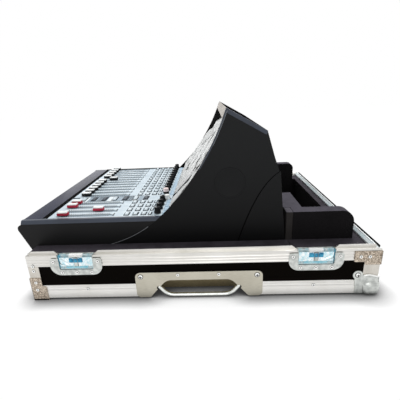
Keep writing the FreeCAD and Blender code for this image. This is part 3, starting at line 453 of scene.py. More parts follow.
def spangled_zinc(name, dark, light, size, rough, metallic):
    """Hot-dip galvanised steel: crystals of about a millimetre, each its own tone, with a speckle
    of white rust between them."""
    made, tree, place = open_finish(name)
    cell = add(tree, "TexVoronoi", {"Scale": every(size)}, {"Vector": place})
    crystal = add(tree, "SeparateColor", {}, {"Color": cell.outputs["Color"]})
    speck = add(tree, "TexNoise", {"Scale": every(size * 2), "Detail": 4.0}, {"Vector": place})
    mixed = add(tree, "Math", {"operation": "ADD"}, {0: crystal, 1: speck})
    spread = add(tree, "MapRange", {"From Min": 0.4, "From Max": 1.6}, {"Value": mixed})
    return close_finish(made, (dark, light), spread, mixed, 0.05, {"Metallic": metallic, "Roughness": rough})


def plated_metal(name, dark, light, rough, wave=9.0, depth=0.05):
    """Plated metal with the slow ripple of pressing and a little mottling in the plating."""
    made, tree, place = open_finish(name)
    slow = add(tree, "TexNoise", {"Scale": every(wave), "Detail": 2.0}, {"Vector": place})
    spread = add(tree, "MapRange", {"From Min": 0.35, "From Max": 0.65}, {"Value": slow})
    return close_finish(made, (dark, light), spread, slow, depth, {"Metallic": 1.0, "Roughness": rough})


def closed_cell_foam(name, dark, light, dust_and_top_light):
    """Cut polyethylene foam: cells of about a millimetre, and a grey laid on the faces that look up, partly a
    dusting and partly painted light from above."""
    made, tree, place = open_finish(name)
    cells = add(tree, "TexVoronoi", {"Scale": every(1.6)}, {"Vector": place})
    cloud = add(tree, "TexNoise", {"Scale": every(28), "Detail": 4.0}, {"Vector": place})
    tone = add(tree, "Mix", {"data_type": "RGBA", 6: linear(dark), 7: linear(light)}, {0: cloud})
    # Painted top light with a dusting: the grey is mixed in, in patches, where a face looks up.
    facing = add(tree, "SeparateXYZ", {}, {"Vector": add(tree, "NewGeometry").outputs["True Normal"]})
    level = add(tree, "MapRange", {"From Min": 0.2, "From Max": 0.95}, {"Value": facing.outputs["Z"]})
    patchy = add(tree, "MapRange", {"From Min": 0.25, "From Max": 0.6, "To Min": 0.55}, {"Value": cloud})
    top_light_and_dust_share = add(tree, "Math", {"operation": "MULTIPLY"}, {0: level, 1: patchy})
    top_lit_and_dusted_tone = add(tree, "Mix", {"data_type": "RGBA", 7: linear(dust_and_top_light)}, {0: top_light_and_dust_share, 6: tone.outputs[2]})
    pores = add(tree, "Bump", {"Distance": 0.3 * MM}, {"Height": cells})
    shader = add(tree, "BsdfPrincipled", {"Roughness": 0.85, "Specular IOR Level": 0.12},
                 {"Base Color": top_lit_and_dusted_tone.outputs[2], "Normal": pores})
    add(tree, "OutputMaterial", {}, {"Surface": shader})
    return made


def phenolic_laminate(name, dark, light):
    """Phenolic film on plywood: near black, smooth, with the faint press mark of a mesh."""
    made, tree, place = open_finish(name)
    mesh_mark = add(tree, "TexVoronoi", {"Scale": every(3.0)}, {"Vector": place})
    cloud = add(tree, "TexNoise", {"Scale": every(40), "Detail": 3.0}, {"Vector": place})
    return close_finish(made, (dark, light), cloud, mesh_mark, 0.05,
                        {"Roughness": 0.6, "Specular IOR Level": 0.02})


def clear_film(name, dull, bright, clearest, rough, crease, depth):
    """Polythene film: where it lies on the surface below it is nearly clear, and where it lifts
    into a fold it is milky.  The lift of each point is stored on the mesh; fine creases are bump."""
    made, tree, place = open_finish(name)
    lift = add(tree, "Attribute", {"attribute_name": "lift"}).outputs["Fac"]
    fine = add(tree, "TexNoise", {"Scale": every(crease), "Detail": 3.0, "Distortion": 1.2},
               {"Vector": place})
    torn = add(tree, "Math", {"operation": "ADD"}, {0: lift, 1: fine})
    milky = add(tree, "MapRange", {"From Min": 0.45, "From Max": 0.75, "To Min": clearest, "To Max": 0.98},
                {"Value": torn})
    return close_finish(made, (dull, bright), lift, fine, depth, {"Roughness": rough, "IOR": 1.5},
                        {"Alpha": milky})


ALONG_X, ALONG_Y, UPRIGHT = (0.03, 1.0, 1.0), (1.0, 0.03, 1.0), (1.0, 1.0, 0.03)
# Painted light: these black shells lighten towards their top. The front shell is lighter than the rest and
# reaches its lightest tone low down.
black_abs = painted_height_light_plastic("spark_eroded_black_abs", "#070708", "#1c1d1e", 70, 330, 0.55, 0.14)
cover_abs = painted_height_light_plastic("spark_eroded_black_abs_cover", "#0c0c0d", "#131314", 70, 330, 0.9, 0.0)
front_abs = painted_height_light_plastic("spark_eroded_black_abs_front", "#121212", "#1d1d1e", 60, 150, 0.5, 0.16)
palm_abs = moulded_plastic("satin_grey_abs_palm_rest", "#1f2336", "#262a40", 0.24, 0.07)
# Painted reflection: the lighter blue-grey of the trims and arc bands is partly their own colour and partly a
# painted sky reflection.
trim_abs = moulded_plastic("satin_abs_trim_painted_blue_reflection", "#2c3340", "#394150", 0.3, 0.5, 0.01)
# Painted light: the hood's lip is black plastic drawn warm grey for the light and reflection on its face.
hood_lip_painted_light_abs = moulded_plastic("black_abs_lip_painted_warm_grey", "#a39c94", "#b0a9a0", 0.45)
panel_paint = moulded_plastic("polyester_powder_paint_pale_grey", "#bccbd5", "#c9d7e0", 0.38, depth=0.008)
pale_paint = moulded_plastic("polyester_powder_paint_pale_blue", "#cad9e1", "#d8e6ed", 0.38, depth=0.008)
grey_print = moulded_plastic("screen_printed_mid_grey_ink", "#92a2ae", "#9fafbb", 0.5)
print_white = moulded_plastic("screen_printed_white_ink", "#dfe8ec", "#eaf1f4", 0.5)
dark_ink_and_slot_shade = moulded_plastic("dark_ink_and_painted_slot_shade", "#1d2227", "#2a3036", 0.6)
# Black rubber for the gaskets and fader lines. It is also painted shade: the seam gaps, the key frames, the
# ring round the dial, the line along the rear rail and the marks on the fasteners.
black_rubber_and_shade = moulded_plastic("black_rubber_and_painted_shade", "#030303", "#060606", 0.8, 0.02)
# Painted highlight: light grey beads stand for light caught along the cheek's arc and crease edges.
edge_highlight_abs = moulded_plastic("black_abs_painted_edge_highlight", "#7b7e82", "#92969a", 0.4)
cap_white = moulded_plastic("gloss_white_abs_fader_cap", "#f0f3f2", "#fafbfa", 0.28, depth=0.004)
cap_black = moulded_plastic("black_abs_fader_skirt", "#090a0a", "#111112", 0.4, 0.2)
cap_red = moulded_plastic("translucent_red_acrylic_skirt", "#a41c33", "#c23049", 0.3)
knob_rubber = moulded_plastic("soft_touch_black_rubber_knob", "#08090b", "#101114", 0.55, 0.15)
key_light = moulded_plastic("translucent_white_silicone_key", "#c9d6dd", "#dde8ee", 0.45)
key_dark = moulded_plastic("dark_grey_silicone_key", "#4b525a", "#5a616a", 0.5)
cap_pink = moulded_plastic("pale_pink_acrylic_knob_cap", "#ecd9d7", "#f6e8e6", 0.4)
window_blue = moulded_plastic("pale_blue_acrylic_display_window", "#abc6da", "#bfd6e6", 0.2, depth=0.003)
glass_black = moulded_plastic("black_backed_toughened_glass", "#040405", "#070709", 0.1, depth=0.0)
screen_film = clear_film("creased_clear_polythene_film", "#858787", "#eceeed", 0.1, 0.22, 13.0, 0.9)
dish_film = clear_film("pale_blue_polythene_film", "#d2f5fc", "#fafeff", 0.88, 0.12, 4.0, 0.5)
film_fold = clear_film("doubled_blue_polythene_film", "#58b7d8", "#a4e4f4", 0.9, 0.12, 3.0, 0.4)
film_cyan = moulded_plastic("cyan_film_ink", "#8fe2f6", "#c4f4ff", 0.25, cloud=9.0)
film_ink = moulded_plastic("deep_blue_film_ink", "#0f6c98", "#49b7df", 0.25, cloud=9.0)
aluminium = brushed_metal("mill_finish_aluminium_extrusion", "#d9d7d1", "#e9e7e3", 0.32, ALONG_Y)
# Painted reflection, partly pale film: the rear runs and the front sill are near-white and barely metallic,
# so they stay bright where metal would reflect the dark foam.
aluminium_rear = brushed_metal("aluminium_rear_painted_bright_with_film", "#f1fafb", "#fdffff", 0.34, ALONG_X,
                               metallic=0.1)
angle_aluminium = brushed_metal("mill_finish_aluminium_angle", "#efede8", "#fbfaf7", 0.36, ALONG_Y,
                                metallic=0.6)
aluminium_post = brushed_metal("mill_finish_aluminium_post", "#c2bdb4", "#dad6ce", 0.35, UPRIGHT)
stainless = brushed_metal("brushed_stainless_plate", "#b6b1a2", "#cfcbbd", 0.42, (1.0, 0.05, 1.0), 70.0)
galvanised = spangled_zinc("hot_dip_galvanised_brace", "#6e5c4c", "#f0e2cf", 1.5, 0.45, 0.5)
recess_steel = brushed_metal("dull_zinc_plated_recess", "#7d7156", "#a39778", 0.5, (1.0, 0.1, 1.0))
zinc = plated_metal("bright_zinc_plated_pressing", "#b6b9b6", "#d9dcd8", 0.28)
rail_film = moulded_plastic("pale_film_left_on_rear_rail", "#e2f5f9", "#f6fdff", 0.22, cloud=14.0)
filmed_zinc = plated_metal("zinc_under_blue_film", "#c3e6ef", "#f8fdfe", 0.22, 5.0)
# Brighter zinc for the rivet heads. It is also a painted highlight on the ball corners' rolled lip.
bright_zinc_and_highlight = plated_metal("bright_zinc_rivet_heads_and_lip_highlight", "#f6f7f4", "#fdfdfc", 0.34, 3.0)
chrome = plated_metal("bright_chromed_bar", "#dcdfdb", "#f2f4f0", 0.16, depth=0.005)
laminate = phenolic_laminate("black_phenolic_laminate", "#070504", "#0c0906")
# Painted top light: the third tone of each foam, laid on upward faces, is partly a dusting and partly light
# from above.
foam = closed_cell_foam("black_polyethylene_foam", "#131113", "#1e1b1e", "#454148")
block_foam = closed_cell_foam("black_polyethylene_foam_block", "#0c0b0c", "#171517", "#524f58")
# Painted light: the cut ends of the foam face the light and are drawn in a lighter copy of the black foam.
painted_lit_end_foam = closed_cell_foam("black_foam_end_strip_painted_lighter", "#2a2827", "#363332", "#57545c")
tyre = moulded_plastic("moulded_black_rubber", "#101011", "#1a1a1b", 0.75)
steel_paint = moulded_plastic("black_powder_coated_steel", "#121213", "#19191b", 0.6)
board_green = moulded_plastic("green_solder_mask", "#0d3b21", "#14502d", 0.35)
nickel = plated_metal("nickel_plated_die_casting", "#8d8f8e", "#a9abaa", 0.35)


# ---- desk: cheeks
def horn_centre():
    """Centre of the horn's arc: on the front side of the chord's perpendicular bisector."""
    chord = tip - horn_foot
    reach = math.sqrt(HORN_RADIUS ** 2 - chord @ chord / 4)
    return (tip + horn_foot) / 2 + unit(np.array([-chord[1], chord[0]])) * reach


horn = horn_centre()
lip_z = tip_z - LIP_HEIGHT


def horn_y(z, radius=HORN_RADIUS):
    """Place of the arc at a height: centre + sqrt(radius^2 - (z - centre)^2)."""
    return horn[0] + np.sqrt(radius ** 2 - (z - horn[1]) ** 2)


def horn_arc(start_z, end_z, back=0.0, steps=28):
    """Points of the arc between two heights, moved back."""
    z = np.linspace(start_z, end_z, steps)
    return joined(horn_y(z) + back, z)


SKIN_STEP = 1.2              # how far the outer plates of a cheek stand proud of its shell
GROOVE = 2.2                 # open line between the two plates
half_groove = np.array([GROOVE / 2, 0])
skin_x = desk_side - SKIN_STEP
# lower edge of the front plate, from the horn's foot to the nose, and the line between the plates
crease = bowed(np.array([-73.6, 144.4]), (-187.0, 91.0), 0.0615)
crease_low = np.array([[-235.0, 77.0], [-262.0, 62.6], [-300.0, shell_z]])
seam = bent((178.7, 241.2), (129.1, 211.8), (97.6, 95.1), (83.5, shell_z))
slope = unit(crown - tip)                # along the sloping top, to the back
down = np.array([slope[1], -slope[0]])   # square to it, into the desk


def cheek_shapes():
    """Right cheek: a core with its rounded nose, a plate between the crease and the rear seam whose
    front edge is the horn's arc, and a plate behind the seam."""
    front = horn_arc(crease[0][1], tip_z - 2.0)
    under_trim = panel_z - CHAMFER_DROP + 0.4
    top = np.array([tip + down * CHAMFER_DROP + slope * 1.5, crown + down * CHAMFER_DROP - slope])
    under_crown = crown + slope + down * 6
    steps = 8
    nose = rounded([rear_foot, front_foot, nose_low, nose_top, [palm_edge[0], under_trim]],
                   [0.1, 1.0, 7.0, 7.0, 0.1], steps)[steps:]
    core = np.concatenate([nose, [[front[3][0], under_trim]], front[4:-3] + [0.8, 0], top,
                           [under_crown, knee, rear_foot]])
    ahead, behind = seam - half_groove, seam + half_groove
    wing = np.concatenate([front, top, [under_crown, ahead[0] + [0.2, 1.0]], ahead, crease_low[::-1],
                           crease[:0:-1]])
    wedge = np.concatenate([behind, [rear_foot, behind[0] + 0.6]])
    plates = [prism(outline, skin_x - 0.5, desk_side, 0) for outline in (wing, wedge)]
    return prism(core, inner_side, skin_x, 0), *plates


def trim_run(start, end):
    """Edge strip from one (y, z) point to another: a steep outer slope, a flatter one above it, and
    the level top, as (x, height) points square to its run."""
    run = unit(end - start)
    section = [[inner_side, -CHAMFER_DROP], [desk_side, -CHAMFER_DROP], [desk_side - 2.0, -3.6],
               [desk_side - CHAMFER_WIDTH, 0.0], [inner_side, 0.0]]
    x, height = np.transpose(section)
    return loft([joined(x, place[0] - height * run[1], place[1] + height * run[0]) for place in (start, end)])


def arc_band(inset, width, low, high):
    """Ribbon on the cheek's face along the horn: the arc moved back by two amounts."""
    near, far = horn_arc(low, high, inset), horn_arc(low, high, inset + width)
    return prism(np.concatenate([near, far[::-1]]), desk_side - 0.3, desk_side + 0.12, 0)


def edge_line(path, radius):
    """Painted highlight on an edge of a moulding: a fine bead along points (y, z) on the cheek's face."""
    return tube(np.insert(path, 0, desk_side - 0.05, axis=1), radius, 8)


BADGE_PLACE = (82.0, 222.0)
BADGE_RADIUS = 31.0
AXIS = 0.05                  # radius at which a turned profile meets its axis


def blank_badge():
    """Round boss with a raised rim and a shallow dish: radii against how far each ring stands out."""
    rings = [[AXIS, -0.3], [AXIS, 0.25], [BADGE_RADIUS - 4.0, 0.25], [BADGE_RADIUS - 2.8, 0.9],
             [BADGE_RADIUS - 0.8, 0.9], [BADGE_RADIUS, -0.3]]
    return turned(rings, [desk_side, *BADGE_PLACE], 0, 96)


core, wing, wedge = cheek_shapes()
for side, shape in (("right", core), ("left", mirrored(core))):
    piece("cheek_shell_" + side, [shape], front_abs, stands_for="cheek_" + side, bevel=0.5)
piece("cheek_wing_plates", both([wing]), black_abs, bevel=0.7, segments=3)
piece("cheek_rear_plates", both([wedge]), black_abs, bevel=0.4)
piece("cheek_blank_bosses", both([blank_badge()]), black_abs, sharp=50)
trims = [trim_run(palm_edge - [1.0, 0], horn_foot + [1.0, 0]), trim_run(tip + slope * 0.8, crown)]
piece("cheek_edge_trims", both(trims), trim_abs, bevel=0.5)
piece("cheek_arc_bands", both([arc_band(0.6, 2.8, 250, tip_z - 6)]), trim_abs)
painted_edge_highlights = [edge_line(horn_arc(296, tip_z - 5, 3.6), 0.4),
              edge_line(np.concatenate([crease[2:], crease_low[:2]]), 0.5)]
piece("cheek_painted_edge_highlights", both(painted_edge_highlights), edge_highlight_abs, sharp=60)
groove = prism(np.concatenate([seam - half_groove, seam[::-1] + half_groove]), skin_x, skin_x + 0.1, 0)
piece("cheek_seam_shadow_gaps", both([groove]), black_rubber_and_shade)

# ---- desk: palm rest
palm_corners = [[palm_rear, panel_z], palm_edge, nose_top, nose_low, front_foot, [palm_rear, shell_z]]
palm_outline = rounded(palm_corners, [0.4, 7.0, 9.0, 7.0, 1.0, 0.4], 8)
piece("palm_rest_moulding", [prism(palm_outline, -moulding, moulding, 0)], palm_abs,
      stands_for="palm_rest", bevel=0.3)

# ---- desk: control surface
STRIP_PITCH = 25.4
FADER_TRAVEL = 100.0
FIELD_HALF = 11.6            # printed fields of a channel strip
SIDES = np.array([-1, 1])
FADERS = ["fader_cap_%02d" % n for n in range(1, 17)]
KEY_ROWS = ("keys_select", "keys_cue", "keys_on")
strip_x, cap_y = np.transpose([centre(node)[:2] for node in FADERS])
strips = strip_x[:, None]
left_bay, right_bay = strip_x[:12], strip_x[12:]
fader_low, fader_high = cap_y.min(), cap_y.min() + FADER_TRAVEL
field_low, field_high = fader_low - 11, fader_high + 14
bank_low, bank_high = span("keys_bank")
bank_x = centre("keys_bank")[0]
knob_low, knob_high = span("encoder_knob_1")
knob_y = centre("encoder_knob_1")[1]
row_y = [centre(node)[1] for node in KEY_ROWS]
lamp_y = row_y[-1] + 13.5
window_y = np.array([knob_high[1] + 0.6, knob_high[1] + 13.0])

plain("control_panel", panel_paint)


def printed(x, half, y0, y1, height=0.15):
    """Fields on the panel about places in X, between edges in Y."""
    return cuboids(joined(x - half, y0, panel_z), joined(x + half, y1, panel_z + height))


def strokes(start, end, count, half):
    """Edges in Y of evenly spaced strokes."""
    y = np.linspace(start, end, count)
    return y - half, y + half


edge_x = [np.append(bay, bay[-1] + STRIP_PITCH) - STRIP_PITCH / 2 for bay in (left_bay, right_bay)]
scale = strokes(fader_low, fader_high, 21, 1.1)
surface = {
    ("pale_fields", pale_paint, "panel_lacquer"): [
        printed(strip_x - 6.6, 5.0, field_low, field_high),
        printed(strip_x, FIELD_HALF, row_y[0] - 9, row_y[0] - 6.8),
        printed(strip_x, FIELD_HALF, window_y[1] + 1.2, panel_rear - 19)],
    ("grey_fields", grey_print, "panel_lacquer"): [
        printed(strip_x + 5.6, 4.0, field_low, field_high),
        printed(strip_x, FIELD_HALF, lamp_y + 4.5, knob_low[1] - 0.5)],
    ("white_lines", print_white, "panel_lacquer"): [
        printed(np.concatenate(edge_x), 0.9, field_low, lamp_y + 6, 0.2),
        printed(strips, FIELD_HALF, *strokes(row_y[0] + 9.0, row_y[-1] + 9.5, 3, 0.5), 0.2)],
    ("scale_print", dark_ink_and_slot_shade, "black_moulding"): [
        # Painted shade: a dark line either side of each fader slot. The ticks and the stroke that follow are
        # print.
        printed(strip_x - 1.5, 0.4, fader_low - 14, field_high - 6, 0.3),
        printed(strip_x + 1.5, 0.4, fader_low - 14, field_high - 6, 0.3),
        printed(strips - 6.1, 2.5, *scale, 0.25),
        printed(strips + 6.4, 1.8, *scale, 0.25),
        printed(strip_x, 8.0, field_high - 4, field_high - 1.5, 0.25)],
    ("border_gasket", black_rubber_and_shade, "black_moulding"): [
        printed(0, moulding - 0.2, palm_rear + 0.2, palm_rear + 11.5, 0.4),
        printed(2.35 - moulding, 2.15, palm_rear, panel_rear, 2.2),
        printed(0, moulding - 0.2, panel_rear - 4.0, panel_rear - 0.2, 0.8)],
}
for (name, finish, slot), fields in surface.items():
    piece("surface_" + name, fields, finish)

# ---- desk: bank column
BANK_HALF = 18.0
BANK_FRONT, BANK_REAR = -279, -126
bank_fields = {
    "white": (print_white, [(BANK_FRONT, -262), (-213, -197), (-150, -137)]),
    "grey": (grey_print, [(-262, -213), (-197, -150), (-137, BANK_REAR)]),
}
for tone, (finish, places) in bank_fields.items():
    fields = [printed(bank_x, BANK_HALF, *place, 0.2) for place in places]
    piece("bank_%s_fields" % tone, fields, finish)
bank_print = [
    printed(bank_x, BANK_HALF - 1.5, *strokes(-236.0, -218.4, 5, 0.9), 0.35),
    printed(bank_x, BANK_HALF - 1.5, *strokes(-175.0, -153.0, 6, 0.9), 0.35),
    printed(bank_x + (BANK_HALF + 0.7) * SIDES, 0.7, BANK_FRONT, BANK_REAR, 0.3),
    printed(bank_x - 12.5, 3.0, -309, -290, 0.6),
]
piece("bank_print_strokes", bank_print, dark_ink_and_slot_shade)

# ---- desk: faders
CAP_SEAT = 1.8               # gap under a cap, above the panel
CAP_SKIRT = 6.0
CAP_HALF = np.array([5.75, 12.0])
TOP_HALF = np.array([5.4, 10.8])
BLOCK = np.array([[-1, -1], [1, -1], [1, 1], [-1, 1]])
FIRST_RED = 13               # caps from this one on have red skirts
stem_low, cap_high = (corner[2] for corner in span(FADERS[0]))
cap_low = panel_z + CAP_SEAT


def cap_top(x, y, low, high):
    """Saddle of a fader cap: height = low + rise * (0.66 + 0.5 |u|^2.2) along it, where u runs from
    -1 to 1, with its ends and long edges rounded down by high powers."""
    u, v = np.linspace(-1, 1, 17)[:, None], np.linspace(-1, 1, 9)[None]
    lengthways = (0.66 + 0.5 * np.abs(u) ** 2.2) * (1 - 0.35 * np.abs(u) ** 10)
    crossways = 1 - 0.10 * np.abs(v) ** 6
    height = low + (high - low) * lengthways * crossways / 1.1
    return slab(*(joined(x + TOP_HALF[0] * v, y + TOP_HALF[1] * u, z) for z in (height, low - 0.2)))


def cap_skirt(x, y, low):
    """Lower half of a cap: rings of a rounded block, drawn in a little towards the top."""
    height, scale = np.transpose([[0.0, 0.95], [0.6, 1.0], [4.2, 0.99], [5.9, 0.94], [6.4, 0.86]])
    return stacked(rounded(BLOCK * CAP_HALF, 1.6, 5), scale[:, None], low + height, [x, y])


for number, (node, x, y) in enumerate(zip(FADERS, strip_x, cap_y), 1):
    stem = cuboids([x - 0.8, y - 3.5, stem_low], [x + 0.8, y + 3.5, cap_low + 1])
    piece("fader_%02d_skirt" % number, [cap_skirt(x, y, cap_low), stem],
          cap_red if number >= FIRST_RED else cap_black, node, stands_for=node)
    piece("fader_%02d_top" % number, [cap_top(x, y, cap_low + CAP_SKIRT, cap_high - 0.4)], cap_white,
          node)
    line = cuboids([x - 4.6, y - 0.5, cap_high - 3.0], [x + 4.6, y + 0.5, cap_high - 2.15])
    piece("fader_%02d_line" % number, [line], black_rubber_and_shade, node)

# ---- desk: encoders
KNOB_RADIUS = 7.0
KNOB_FLUTES = 14
knob_seat, knob_top = panel_z + 1.6, knob_high[2]


def fluted_knob(x, y, low, high, radius=KNOB_RADIUS):
    """Rings whose radius is a height profile times 1 + a cos(flutes * angle), with a dished top."""
    angle = circle(96)
    level = np.array([0.0, 0.03, 0.08, 0.5, 0.9, 0.965, 1.0, 1.0, 0.955, 0.95])[:, None]
    profile = np.array([1.06, 1.14, 1.1, 0.9, 0.86, 0.84, 0.78, 0.70, 0.64, 0.02])[:, None]
    flute = np.array([0.0, 0.5, 1.0, 1.0, 1.0, 0.6, 0.0, 0.0, 0.0, 0.0])[:, None] * 0.035
    ring = radius * profile * (1 + flute * (np.cos(KNOB_FLUTES * angle) - 1))
    return loft(joined(x + ring * np.cos(angle), y + ring * np.sin(angle), low + level * (high - low)))


def disc(place, axis, radius, low, high, steps):
    """Flat disc between two heights on an axis."""
    return turned([[AXIS, low], [radius, low], [radius, high], [AXIS, high]], place, axis, steps)


def knob_shapes(x):
    """Knob on its shaft."""
    shaft = turned([[3.0, knob_low[2]], [3.0, knob_seat + 1]], [x, knob_y, 0], 2, 20)
    return [fluted_knob(x, knob_y, knob_seat, knob_top), shaft]


def knob_mark(x):
    """Pointer line in a knob's top."""
    return cuboids([x - 0.7, knob_y - 5.6, knob_top - 0.6], [x + 0.7, knob_y - 1.0, knob_top + 0.05])


row_knobs = [shape for x in left_bay for shape in knob_shapes(x)]
piece("encoder_row_knobs", row_knobs, knob_rubber, "encoder_row", stands_for="encoder_row")
piece("encoder_row_marks", [knob_mark(x) for x in left_bay], cap_white, "encoder_row")
for number, x in enumerate(right_bay, 1):
    node = "encoder_knob_%d" % number
    piece("encoder_%d_knob" % number, knob_shapes(x), knob_rubber, node, stands_for=node)
    piece("encoder_%d_mark" % number, [knob_mark(x)], cap_white, node)
PINK_CAP = [[AXIS, -8.0], [6.9, -8.0], [7.0, -7.4], [6.5, -0.9], [5.7, 0.05], [AXIS, 0.1]]
pink_cap = turned(PINK_CAP, [left_bay[-1], knob_y, knob_top], 2, 40)
piece("encoder_pale_cap", [pink_cap], cap_pink, "encoder_row")
DIAL_X = 114.0
DIAL_RADIUS = 7.4
DIAL_HEIGHT = 11.0
DIAL_SHADOW_RADIUS = 9.6
dial = [DIAL_X, knob_y + 8]
dial_knob = fluted_knob(*dial, panel_z, panel_z + DIAL_HEIGHT, DIAL_RADIUS)
piece("bank_dial_cap", [dial_knob], cap_white)
# Painted shadow: a dark ring on the panel round the dial's foot.
piece("bank_dial_painted_shadow_ring", [disc([*dial, panel_z], 2, DIAL_SHADOW_RADIUS, 0, 0.8, 36)], black_rubber_and_shade)

# ---- desk: keys and windows
KEY_ROUND = 1.8
KEY_SHADOW_MARGIN = 1.9               # painted shadow round a key
KEY = (14.0, 8.0)            # width and depth
LAMP = (14.0, 4.0)
BANK_KEY = (24.0, 9.0)
BANK_KEYS = 7
BANK_END = 5.7               # middle of the first bank key from the front of its row
PALE_KEYS = (0, 3, 5)


def key_cap(x, y, width, depth, low, high):
    """Rounded key that swells to a soft top: rings of one rounded rectangle, drawn in near the top."""
    half = np.array([width, depth]) / 2
    level, inset = np.transpose([[0.0, 0.0], [0.55, 0.0], [0.8, 0.25], [0.93, 0.7], [1.0, 1.6]])
    scale = 1 - inset[:, None] / half
    return stacked(rounded(BLOCK * half, KEY_ROUND, 5), scale, low + level * (high - low), [x, y])


def key_painted_shadows(x, y, width, depth):
    """Painted shadows round keys: dark frames under them."""
    reach = depth / 2 + KEY_SHADOW_MARGIN
    return printed(x, width / 2 + KEY_SHADOW_MARGIN, y - reach, y + reach, 0.4)


for node, y in zip(KEY_ROWS, row_y):
    low, high = (corner[2] for corner in span(node))
    piece(node + "_caps", [key_cap(x, y, *KEY, low, high) for x in strip_x], key_light, node,
          stands_for=node)
bank_y = np.linspace(bank_low[1] + BANK_END, bank_high[1] - BANK_END, BANK_KEYS)
bank_caps = [key_cap(bank_x, y, *BANK_KEY, bank_low[2], bank_high[2]) for y in bank_y]
dark_caps = [cap for n, cap in enumerate(bank_caps) if n not in PALE_KEYS]
piece("keys_bank_dark_caps", dark_caps, key_dark, "keys_bank", stands_for="keys_bank")
piece("keys_bank_pale_caps", [bank_caps[n] for n in PALE_KEYS], key_light, "keys_bank")
# Painted shadow round every key, lamp and bank key.
key_shadow_frames = [key_painted_shadows(strip_x, y, *KEY) for y in row_y]
key_shadow_frames += [key_painted_shadows(strip_x, lamp_y, *LAMP), key_painted_shadows(bank_x, bank_y, *BANK_KEY)]
piece("key_row_painted_shadows", key_shadow_frames, black_rubber_and_shade)
lamps = [key_cap(x, lamp_y, *LAMP, panel_z, panel_z + 1.6) for x in strip_x]
piece("level_lamps", lamps, key_light)
WINDOW = (STRIP_PITCH - 2, window_y[1] - window_y[0])
windows = [key_cap(x, window_y.mean(), *WINDOW, panel_z, panel_z + 1.0) for x in strip_x]
piece("name_windows", windows, window_blue)

# ---- desk: display wall
plain("main_touchscreen", glass_black)
plain("utility_screen", glass_black)
plain("display_housing", black_abs)


def creases(across, along, seed, count, pitch):
    """Height from 0 to 1 of a creased sheet: each fold is (1 - |sin phase|)^2 of a slanted, bent
    phase, so its crest is sharp, and the folds run across one another."""
    rng = np.random.default_rng(seed)
    lean = rng.uniform(-0.5, 1.2, count)
    start = rng.uniform(0, math.tau, count)
    bend = 7 * np.sin(across / 41 + start[0]) + 6 * np.sin(along / 33 + start[1])
    widths = pitch * rng.uniform(0.6, 1.8, count)
    way = across[..., None] * np.cos(lean) + along[..., None] * np.sin(lean) + bend[..., None]
    folds = (1 - np.abs(np.sin(way / widths * math.pi + start))) ** 2 * widths
    return folds.sum(-1) / widths.sum() * 1.8


def film_piece(name, points, lift, finish):
    """Open sheet of film that stores how far each of its points is lifted."""
    item = piece(name, [sheet(points)], finish, sharp=180)
    item.data.attributes.new("lift", "FLOAT", "POINT").data.foreach_set("value", np.clip(lift, 0, 1).ravel())


def valley(x, z, start, end, width):
    """1 along the line from `start` to `end`, falling off as exp(-(distance / width)^2)."""
    run = np.subtract(end, start)
    from_start = joined(x, z) - start
    along = np.clip(from_start @ run / (run @ run), 0, 1)
    return np.exp(-((from_start - along[..., None] * run) ** 2).sum(-1) / width ** 2)


FINE_START, FINE_REACH = 215, 60     # folds grow fine from this height down
BULGE = 11
BULGE_MIDDLE, BULGE_HALF = 225, 62   # heights between which the film bulges
FAR_START, FAR_REACH = 120, 340      # the bulge grows from here towards the operator's left
FILM_GAP = 2.0                       # film's own distance from the glass
FOLD_DEPTH = 4.0


def screen_film_piece(name, left_edge, right_edge, top_edge, folds, seed):
    """Film over the curved glass: radius = glass radius - (gap + bulge + folds).  It bulges away from
    the glass towards the operator's left, halfway up.  Each edge is a row of (place, limit) points."""
    u, v = np.meshgrid(np.linspace(0, 1, 230), np.linspace(0, 1, 170), indexing="ij")
    low = panel_z + 3
    rough_z = low + (lip_z - low) * v
    left = np.interp(rough_z, *np.transpose(left_edge)) + 3 * np.sin(rough_z / 5.0)
    x = left + (np.interp(rough_z, *np.transpose(right_edge)) - left) * u
    z = low + (np.interp(x, *np.transpose(top_edge)) + 3 * np.sin(x / 9) - low) * v
    fine = np.clip((FINE_START - z) / FINE_REACH, 0, 1)
    lift = creases(x, z, seed, 6, 34.0) * (1 - 0.6 * fine) + creases(x, z, seed + 40, 6, 11.0) * 0.75 * fine
    lift = lift - sum(depth * valley(x, z, start, end, width) for start, end, width, depth in folds)
    far = np.clip((FAR_START - x) / FAR_REACH, 0, 1)
    bulge = BULGE * far * np.clip(1 - ((z - BULGE_MIDDLE) / BULGE_HALF) ** 2, 0, 1) ** 0.5
    radius = HORN_RADIUS - FILM_GAP - bulge - FOLD_DEPTH * np.clip(lift, 0, 1)
    y = GLASS_SETBACK + horn_y(z, radius)
    film_piece(name, joined(x, y, z), lift, screen_film)


main_folds = [
    [(1, 297), (-69, 270), 2.5, 0.8], [(-69, 270), (-116, 244), 2.0, 0.5], [(-96, 189), (-43, 184), 5.0, 0.9],
    [(96, 196), (80, 225), 7.0, 0.8], [(60, 212), (20, 226), 5.0, 0.4], [(-150, 215), (-190, 196), 2.0, 0.4],
]
screen_film_piece("main_screen_film", [(155, -178), (172, -207), (183, -219), (262, -220)],
                  [(155, 84), (215, 88), (242, 98)],
                  [(-222, 262), (-180, 294), (-157, 306), (-51, 325), (60, 334), (98, 336)], main_folds, 3)
screen_film_piece("utility_screen_film", [(155, 108), (215, 103), (242, 101)], [(155, 219), (340, 219)],
                  [(100, 336), (222, 339)], [[(120, 200), (170, 172), 3.0, 0.5]], 8)

# ---- desk: hood and rear
HOOD_SHEET = 3.0
LIP_DEPTH = 22.0
lip_start = tip + slope * 2.5


